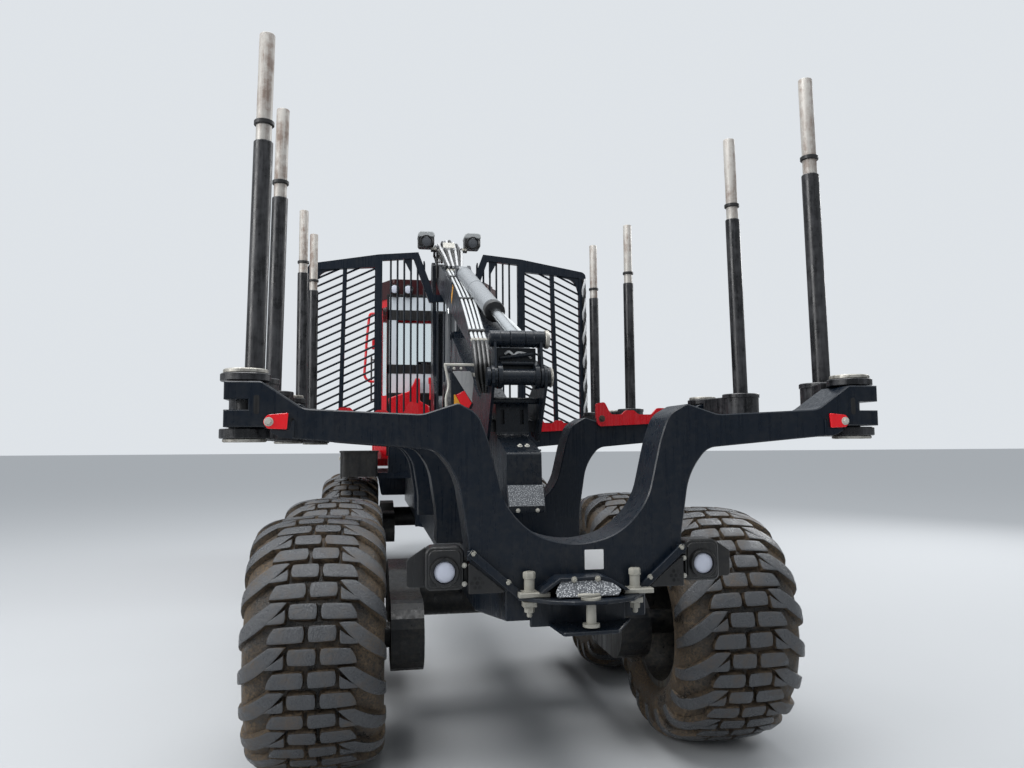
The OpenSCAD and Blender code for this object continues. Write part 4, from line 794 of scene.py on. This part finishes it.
upper = [(-258, 28, 0), (-258, -40, 10), (-150, -138, 20), (-62, -180, 14), (70, -184, 14)]
upper += [(196, -138, 20), (284, -14, 10), (284, 28, 0)]
lower = [(-128, 28, 0), (-108, -180, 12), (118, -172, 12), (232, 28, 0)]
strip = [(-180, 1137), (-166, 1151), (-102, 1193), (76, 1195), (108, 1186), (174, 1148)]
strip += [(188, 1137), (172, 1135), (100, 1173), (72, 1182), (-98, 1180), (-160, 1136)]
black = [
    plate(rounded(upper, 5), 1100, 1115, 2, 3),
    plate(rounded(lower, 5), 984, 998, 2, 3),
    slab((-200, 0, 984), (200, 28, 1136)),
    plate(strip, -104, -1, 1, 2),
]
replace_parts(build("hitch_plates", black, REAR, frame_paint), "tow_hitch")
STUD_Y = -40
studs = []
for x, left, right in ((-214, -261, -135), (230, 174, 299)):
    studs += [
        slab((left, -78, 1116), (right, -2, 1135)),
        upright([(1135, 26), (1140, 26), (1141, 21), (1186, 21), (1188, 25), (1193, 25)], x, STUD_Y, 24),
        moved(hexagon(0, 22, 26), (x, STUD_Y, 1192), towards(UPWARD)),
        slab((x - 27, -64, 1076), (x + 27, -14, 1098)),
        moved(hexagon(0, 24, 21), (x, STUD_Y, 1054), towards(UPWARD)),
        upright([(1034, 8), (1038, 11), (1098, 11)], x, STUD_Y, 20),
    ]
studs += [bolt((x, -106, 1187), 8) for x in (-44, 53)]
pin = [(1009, 34), (1021, 34), (1022, 20), (1114, 20), (1115, 40), (1124, 40), (1128, 34)]
pin_handle = [(-40, -150, 1132), (-18, -166, 1137), (14, -168, 1135), (44, -150, 1132)]
studs += [upright(pin, 14, -140, 28), hose(pin_handle, 7, 8, 14)]
build("hitch_studs_and_pin", studs, REAR, plated)
cover = rounded([(-118, 0, 8), (132, 0, 8), (150, 24, 8), (92, 74, 10), (-92, 74, 10), (-122, 24, 8)], 5)
cover = moved(plate(cover, 0, 9, 2, 2.5), (0, -122, 1119), about_x(60))
step_cover = grained("grained_grey_step_cover", "#c6c8cb", "#55585c")
build("hitch_step_cover", [cover], REAR, step_cover)
# Matt film takes the light evenly
film = paint("matt_white_label_film", "#dcdcdc", 0.5, 0.1)
label = rounded([(29, 1207, 3), (110, 1207, 3), (110, 1288, 3), (29, 1288, 3)], 3)
build("blank_label", [plate(label, -1.2, -0.2, 1, 0.3)], REAR, film)

# Headboard
# The CAD grid of posts, rails and bars in wet black paint. Notched uprights, corner gussets
# and a hose in a twisted pale wrap along the right post are added.

dress(frame_paint, "headboard")
corner = rounded([(1200, 3642, 0), (1462, 3622, 0), (1462, 3420, 0), (1420, 3590, 150)], 8)
uprights = [
    plate([(1126, 3660), (1170, 3660), (1205, 1975), (1161, 1975)], 5266, 5314, 1, 2),
    plate(corner, 5270, 5310, 1, 3),
    plate([(428, 3600), (428, 3775), (520, 3775)], 5272, 5308, 1, 3),
]
on_rear("headboard_uprights", uprights, frame_paint)
# Plastic wrap rubbed pale over rubber that keeps a low sheen; the same pale grey on the boom's root hoses is
# a painted highlight
pale_wrap_and_highlight = paint("pale_hose_wrap_and_painted_highlight", "#b9babb", 0.4, 0.3)
dark_hose = paint("black_rubber_hose", "#0c0d0e", 0.35, 0.15)
# Two strands of a helix round one another: radius 13, lead 270
STRAND_R, STRAND_LEAD, STRAND_FOOT = 13, 270, 1985
z = np.linspace(STRAND_FOOT, 3600, 96)
for name, phase, finish in (("_wrap", 0.0, pale_wrap_and_highlight), ("", math.pi, dark_hose)):
    a = phase + (z - STRAND_FOOT) * 2 * math.pi / STRAND_LEAD
    strand = np.column_stack([1512 + STRAND_R * np.cos(a), 5238 + STRAND_R * np.sin(a), z])
    build("headboard_hose" + name, [hose(strand, STRAND_R, 8, 150)], REAR, finish)

# Crane
# Welded boxes in wet satin paint, folded for the road, with plated pipes and rubber hoses
# along them. Cylinders have grey barrels, black glands and ground chrome rods.

# Rain makes the paints shine; the zinc on the pipes is bright and shows the sky
crane_paint = paint("satin_blue_black_sprayed_crane_paint", "#0c151f", 0.32, 0.16, shine=0.35)
barrel_paint = paint("satin_grey_sprayed_barrel_paint", "#7c8084", 0.3, 0.3)
pipe_zinc = paint("bright_zinc_plated_pipe", "#c9cccd", 0.22, 0.25)
# Ground chrome: a mirror that an oil film of 33 mm patches dulls and tints
chrome, tree = new_tree("ground_hard_chrome")
where = add(tree, "TexCoord").outputs["Object"]
oil = add(tree, "TexNoise", {"Vector": where, "Scale": 1000 / 33.33, "Detail": 5})
gloss = add(tree, "MapRange", [oil, 0, 1, 0.08, 0.26])
colours = {"Factor": oil, 6: linear("#e4e8ea"), 7: linear("#bfc5c8")}
tone = add(tree, "Mix", colours, data_type="RGBA").outputs[2]
shader = add(tree, "BsdfPrincipled", {"Base Color": tone, "Roughness": gloss, "Metallic": 1})
add(tree, "OutputMaterial", [shader])
dress(crane_paint, "crane_post", "main_boom", "rocker", "stick", "stick_extension", "hanger", "rotator")
dress(barrel_paint, "lift_barrel", "stick_barrel")
dress(chrome, "lift_rod", "stick_rod")

BOOM_SLOPE = 19.9
_, HINGE_Y, HINGE_Z = pin_of("boom_lift")


def on_boom(u, v, x):
    """Point u along the parked boom from its hinge, v above its middle line, x to the right."""
    c, s = math.cos(math.radians(BOOM_SLOPE)), math.sin(math.radians(BOOM_SLOPE))
    return (x, HINGE_Y - u * c - v * s, HINGE_Z - u * s + v * c)


pipes, clamps, fittings, loops = [], [], [], []
for i in range(4):
    first, last = -96 + 34 * i, -222 + 26 * i
    line = [(1180, 178, first), (1700, 172, -104 + 34 * i), (3000, 168, -150 + 32 * i), (4380, 128, last)]
    pipes.append(hose([on_boom(*at) for at in line], 10, 10, 40))
    for u, v, x in ((1230, 178, first - 1), (4380, 128, last)):
        ahead = np.subtract(on_boom(u + 50, v - 1, x), on_boom(u, v, x))
        fittings.append(moved(hexagon(-26, 20, 16), on_boom(u, v, x), towards(ahead)))
    line = [on_boom(4380, 128, last), on_boom(4470, 112, last - 4), (last - 8, 1440, 2215)]
    loops.append(hose([*line, (last - 2, 1420, 2120), (last * 0.5 - 86, 1450, 2040)], 14, 10, 34))
for u, v, x0, x1 in ((1700, 172, -120, 14), (3000, 168, -166, -38), (4150, 138, -228, -118)):
    block = plate([(x0, 0), (x1, 0), (x1, 34), (x0, 34)], -22, 22, 1, 4)
    clamps.append(moved(block, on_boom(u, v - 17, 0), about_x(BOOM_SLOPE)))
for x in (8, 36, 64):
    line = [(2500, 120, x - 30), (2900, 190, x - 34), (3700, 200, x - 20), (4420, 196, x + 6)]
    pipes.append(hose([on_boom(*at) for at in (*line, (4560, 150, x + 10))], 12, 8, 40))
build("boom_pipes", pipes, "boom", pipe_zinc)
build("boom_pipe_clamps", clamps, "boom", plastic)
build("boom_pipe_fittings", fittings, "boom", plated)
build("knuckle_hoses", loops, "boom", dark_hose)

root = []
for i in range(8):
    x = -140 + 40 * i
    tall = 4108 - 11 * abs(i - 3.5) ** 1.5
    line = [(x * 0.8, 5880, 3890), (x * 0.9, 5910, 3960), (x, 5860, tall - 70), (x, 5700, tall)]
    line += [(x, 5500, tall - 90), on_boom(560, 260, x * 0.8), on_boom(900, 176, x * 0.55)]
    root.append(hose(line, 15, 10, 44))
build("boom_root_hoses", root[::2], "boom", dark_hose)
# Painted highlight: every other hose at the boom's root is pale grey where the black hoses shine
build("boom_root_hoses_painted_highlight", root[1::2], "boom", pale_wrap_and_highlight)
tab = plate([(-85, 0), (45, 0), (45, 70), (-85, 70)], -6, 6, 1)
plates = [
    moved(tab, on_boom(420, 330, 0), about_x(-BOOM_SLOPE)),
    slab((-130, 5530, 3862), (130, 5570, 3900)),
    *[moved(hexagon(-20, 26, 20), (x, 5520, 3935), towards((0, -1, 0.3))) for x in range(-110, 91, 40)],
]
build("boom_root_fittings", plates, "boom", zinc)

BOOM_LAMP = (262, 5412, 4016)
cap = rounded([(168, 4064, 22), (356, 4064, 22), (356, 4130, 40), (168, 4130, 40)], 8)
case = rounded([(172, 3964, 30), (352, 3964, 30), (352, 4120, 26), (172, 4120, 26)], 8)
lamps = [
    plate(case, 5412, 5588, 1, 8),
    slab((130, 5470, 3925), (205, 5530, 3966)),
    slab((126, 5465, 3620), (145, 5535, 3950), 4),
    turned([(0, 74), (14, 74), (20, 68), (20, 60), (8, 56), (0, 56)], BOOM_LAMP),
]
lamps = build("boom_lamp_boxes", both_sides(lamps), "boom", plastic)
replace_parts(lamps, "boom_lamps")
# Wet plastic shines softly; smoked glass is dark with a hard highlight
wet_cap = paint("wet_grey_moulded_cap", "#8f9293", 0.25, 0.3)
smoked = paint("smoked_lamp_glass", "#3c3f44", 0.08, 0.1, coat=0.5)
glass = turned([(0, 56), (6, 54), (9, 40), (10, 1)], BOOM_LAMP)
build("boom_lamp_caps", both_sides([plate(cap, 5396, 5596, 1, 10)]), "boom", wet_cap)
build("boom_lamp_glasses", both_sides([glass]), "boom", smoked)
build("boom_lamp_bolts", both_sides([bolt((x, 5462, 3948), 11) for x in (160, 190)]), "boom", zinc)

# The stick's cylinder runs from its foot on the boom to the rocker's upper pin
FOOT, HEAD = np.array(on_boom(1700, 225, 0)), np.array(on_boom(4676, 205, 0))
gland = [(2010, 70), (2012, 76), (2076, 76), (2088, 72), (2092, 60), (2092, 36)]
build("stick_cylinder_gland", [turned(gland, FOOT, 40, HEAD - FOOT)], "fold_tube", plastic)
bands = [[(a, 70), (a + 2, 73), (a + 22, 73), (a + 24, 70)] for a in (190, 1040, 1960)]
bands = [turned(band, FOOT, 40, HEAD - FOOT) for band in bands]
build("stick_cylinder_bands", bands, "fold_tube", barrel_paint)


def across(x0, x1, r, at=HEAD[1:], count=40, bevel=3.0):
    """Round bar across the machine from x0 to x1 at a station and height."""
    return bar((x0, *at), (x1, *at), r, count, bevel)


LOWER_PIN = (1300, 2121)
knuckle = [
    across(46, 166, 49),
    across(-166, -46, 49),
    *[across(s * 100 - 6, s * 100 + 6, 52, bevel=2) for s in (-1, 1)],
    across(-120, 120, 47, LOWER_PIN),
    plate([(-118, 2160), (118, 2160), (118, 2300), (-118, 2300)], 1352, 1366, 1),
    across(-100, 104, 14, (1330, 2205), 16, 2),
    bar((-104, 1336, 2238), (96, 1322, 2262), 11, 16),
]
build("knuckle_tubes", knuckle, "rocker_arm", crane_paint)
# The washers have the discs' pale grey with its painted sky reflection
washers = [across(166, 192, 56, bevel=5), across(187, 203, 60, LOWER_PIN, bevel=6)]
build("knuckle_washers", washers, "rocker_arm", disc_steel_and_sky_sheen)
build("knuckle_rod_eye", [across(-45, 45, 51)], "fold_piston", crane_paint)
line = [(-70, 1344, 2262), (-48, 1330, 2276), (-20, 1330, 2254), (6, 1330, 2270)]
line = hose([*line, (60, 1336, 2262), (88, 1344, 2240)], 8, 8, 26)
build("knuckle_loop", [line], "rocker_arm", pale_wrap_and_highlight)

gritty = grained("gritty_worn_anti_slip_strip", "#9a9da0", "#55585c")
wedge = plate([(1121, 1504), (1113, 1502), (1066, 1386), (1066, 1352), (1121, 1346)], -104, 104, 0)
grip = plate([(1109, 1500), (1105, 1499), (1061, 1388), (1066, 1386)], -100, 100, 0, 1)
build("stick_end_wedge", [wedge], "stick_arm", crane_paint)
build("stick_grip_strip", [grip], "stick_arm", gritty)
build("stick_end_bolts", [bolt((x, 1066, 1364), 8) for x in (-50, 60)], "stick_arm", zinc)
build("stick_bolts", [bolt((x, 1210, 1718), 10, (0, -0.5, 1)) for x in (-10, 32)], "stick_arm", zinc)

# Guard beside the boom: a bent rod, a pale and a dark plate, and films in red and amber
GUARD_Y = 1600
bent = [(-404, 2222), (-392, 2165), (-380, 2090), (-396, 2016), (-394, 1950)]
guard = [
    hose([(x, GUARD_Y, z) for x, z in bent], 8),
    slab((-410, 1594, 2214), (-122, 1610, 2230)),
    slab((-240, 1602, 2150), (-122, 1610, 2172), 2),
]
dark = [(-366, 2180), (-356, 2180), (-228, 1976), (-240, 1946), (-366, 1960)]
pale = [(-358, 2180, 4), (-241, 2182, 14), (-224, 2120, 24), (-236, 2008, 8), (-230, 1978, 3)]
red = [(-336, 2034), (-284, 2060), (-238, 1984), (-256, 1954), (-304, 1970)]
amber = [(-348, 2036), (-340, 2036), (-306, 1972), (-348, 1976)]
# Sheet steel with a wet gloss, and smooth coloured film
sheet = paint("worn_wet_grey_sheet_steel", "#9b9c9d", 0.3, 0.3)
sticker = paint("amber_warning_film", "#d99a2a", 0.4, 0.2)
build("hose_guard_frame", guard, "boom", zinc)
for name, outline, low, high, bevel, finish in (
    ("dark", dark, 1596, 1604, 1.5, crane_paint),
    ("plate", rounded(pale, 4), 1594, 1602, 1.5, sheet),
    ("red", red, 1592, 1595.6, 1, reflector),
    ("amber", amber, 1591, 1595.6, 0.5, sticker),
):
    build(f"hose_guard_{name}", [plate(outline, low, high, 1, bevel)], "boom", finish)
build("hose_guard_bolts", [bolt((x, 1594, 2199), 6) for x in (-347, -304)], "boom", zinc)
flash = plate([(3950, 3040), (3990, 3120), (3830, 3200), (3800, 3150)], -127.2, -125.4, 0, 0.5)
build("boom_amber_film", [flash], "boom", sticker)

# Grapple
# Two cast and welded jaws on pins under a rotator, which hangs from the stick's end. Their
# black paint is worn to steel in streaks.

dress(streaked("worn_black_grapple_paint", "#14161a", "#6f6d69", 0.6, 0.35), "jaw_aft", "jaw_fore")

# Cab
# Red pressed-steel cab with a dark red roof, black trim round the rear windows, tinted safety
# glass and four round work lamps under the roof's rear edge. The seat has black cloth.

dress(red_paint, "cab_shell", "cab_door")
fin = [(-614, 2075), (-136, 2075), (-148, 2221), (-262, 2284), (-262, 2566)]
fin += [(-318, 2572), (-340, 2512), (-398, 2408), (-655, 2316), (-644, 2268)]
cover = [
    plate(rounded([(x, z, 16) for x, z in fin], 5), 6532, 6828, 1, 10),
    slab((-156, 6540, 2500), (-104, 6600, 2580), 8),
    bar((-130, 6560, 2300), (-130, 6560, 2505), 16),
]
cover = build("rear_cover_moulding", cover, FRONT, red_paint)
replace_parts(cover, "rear_cover")
# The same paint without its clear coat, darker and less shiny
roof_paint = paint("gloss_dark_red_sprayed_roof_paint", "#2e070c", 0.28, 0.08, shine=0.35)
dress(roof_paint, "cab_roof")
trim = [(3351, 3483), (2655, 2773), (2375, 2407), (3655, 3690)]
trim = [slab((-671, 6864, low), (671, 6880, high)) for low, high in trim]
trim += both_sides([slab((642, 6864, 2400), (671, 6880, 3660))])
trim += both_sides([slab((-5, 6868, 1600), (671, 6880, 2380))])
build("cab_rear_trim", trim, FRONT, plastic)
panes = [slab((-642, 6868, low), (642, 6876, high), 1) for low, high in ((3483, 3655), (2407, 2655))]
panes += both_sides([slab((540, 6868, 2773), (642, 6876, 3351), 1)])
# Painted reflection: opaque pale grey panes stand in for tempered glass that mirrors a pale sky
painted_sky_panes = paint("glass_with_painted_sky_reflection", "#bcc3c9", 0.1, 0.2)
build("cab_rear_outer_panes", panes, FRONT, painted_sky_panes)
# Clear glass with a grey tint; dirt in 250 mm patches dulls it
cab_glass, tree = new_tree("tinted_safety_glass")
where = add(tree, "TexCoord").outputs["Object"]
dirt = add(tree, "TexNoise", {"Vector": where, "Scale": 1000 / 250, "Detail": 8, "Roughness": 0.7})
haze = add(tree, "MapRange", [dirt, 0.45, 0.8, 0.02, 0.3])
inputs = {"Base Color": linear("#eef3f4"), "Roughness": haze, "Transmission Weight": 1, "IOR": 1.1}
add(tree, "OutputMaterial", [add(tree, "BsdfPrincipled", inputs)])
dress(cab_glass, "cab_panes", "door_pane")
# Woven cloth has no gloss
dress(paint("woven_black_seat_cloth", "#15161a", 0.9, 0.1), "cab_seat")
housings, lenses = [], []
for x in (402, 578):
    at = (x, 6810, 3745)
    housings.append(turned([(-60, 40), (-30, 62), (4, 66), (10, 62), (10, 54), (2, 52)], at, 32))
    housings.append(slab((x - 34, 6820, 3652), (x + 34, 6872, 3745), 10))
    lenses.append(turned([(0, 52), (8, 50), (13, 34), (14, 1)], at, 32))
build("roof_lamp_housings", both_sides(housings), FRONT, plastic)
build("roof_lamp_lenses", both_sides(lenses), FRONT, lens)
STEERING_Y, STEERING_Z = 8020, 2330
t = np.linspace(0, 2 * math.pi, 40)
ring = np.column_stack([190 * np.cos(t), STEERING_Y + 80 * np.sin(t), STEERING_Z + 150 * np.sin(t)])
steering = [
    hose([*ring[:-1], ring[0]], 14, 10, 60),
    bar((0, STEERING_Y, STEERING_Z), (0, 8160, 2000), 24),
    slab((-180, 8010, 2322), (180, 8030, 2338)),
]
build("steering_wheel", steering, FRONT, plastic)
rail = [hose([(-868, 8230, z) for z in (2350, 2380, 2700, 3000, 3030)], 13, 10, 20)]
rail += [bar((-868, 8230, z), (-818, 8230, z), 11) for z in (2400, 2980)]
build("cab_grab_rail", rail, FRONT, plastic)
handle = [slab((-850, 7480, 2120), (-822, 7620, 2150), 6), slab((-832, 7460, 2100), (-819, 7650, 2170), 4)]
build("door_handle", handle, "door", plastic)
rail = [(-830, 3452), (-888, 3436), (-908, 3300), (-928, 3082), (-943, 2820), (-950, 2640), (-900, 2570)]
rail = [hose([(x, 7000, z) for x, z in [*rail, (-830, 2560)]], 17, 12, 60)]
rail.append(bar((-818, 7000, 3000), (-930, 7000, 3000), 9, 12))
build("cab_corner_rail", rail, FRONT, red_paint)

# Hood, engine and boxes
# Red hood shell over a grey cast-iron engine, and black plastic boxes beside the deck. Four
# round lamps on the hood's nose and plated latches on the boxes are added.

dress(red_paint, "hood")
# Matt paint over rough castings
dress(paint("grey_cast_iron_engine_paint", "#3c3f42", 0.5, 0.4), "engine")
dress(plastic, "side_boxes")
FORWARD = (0, 1, 0)
bezel = [(-20, 50), (0, 78), (14, 80), (20, 74), (20, 64), (10, 60), (0, 60)]
glass = [(0, 60), (8, 58), (14, 40), (16, 1)]
for name, profile, face, finish in (("bezels", bezel, 9852, plastic), ("lenses", glass, 9856, lens)):
    nose = [turned(profile, (x, face, 2060), 36, FORWARD) for x in (300, 520)]
    build(f"nose_lamp_{name}", both_sides(nose), "engine_hood", finish)
latches = both_sides([slab((1208, y, 1560), (1240, y + 90, 1600), 5) for y in (6420, 6880)])
build("side_box_latches", latches, FRONT, zinc)
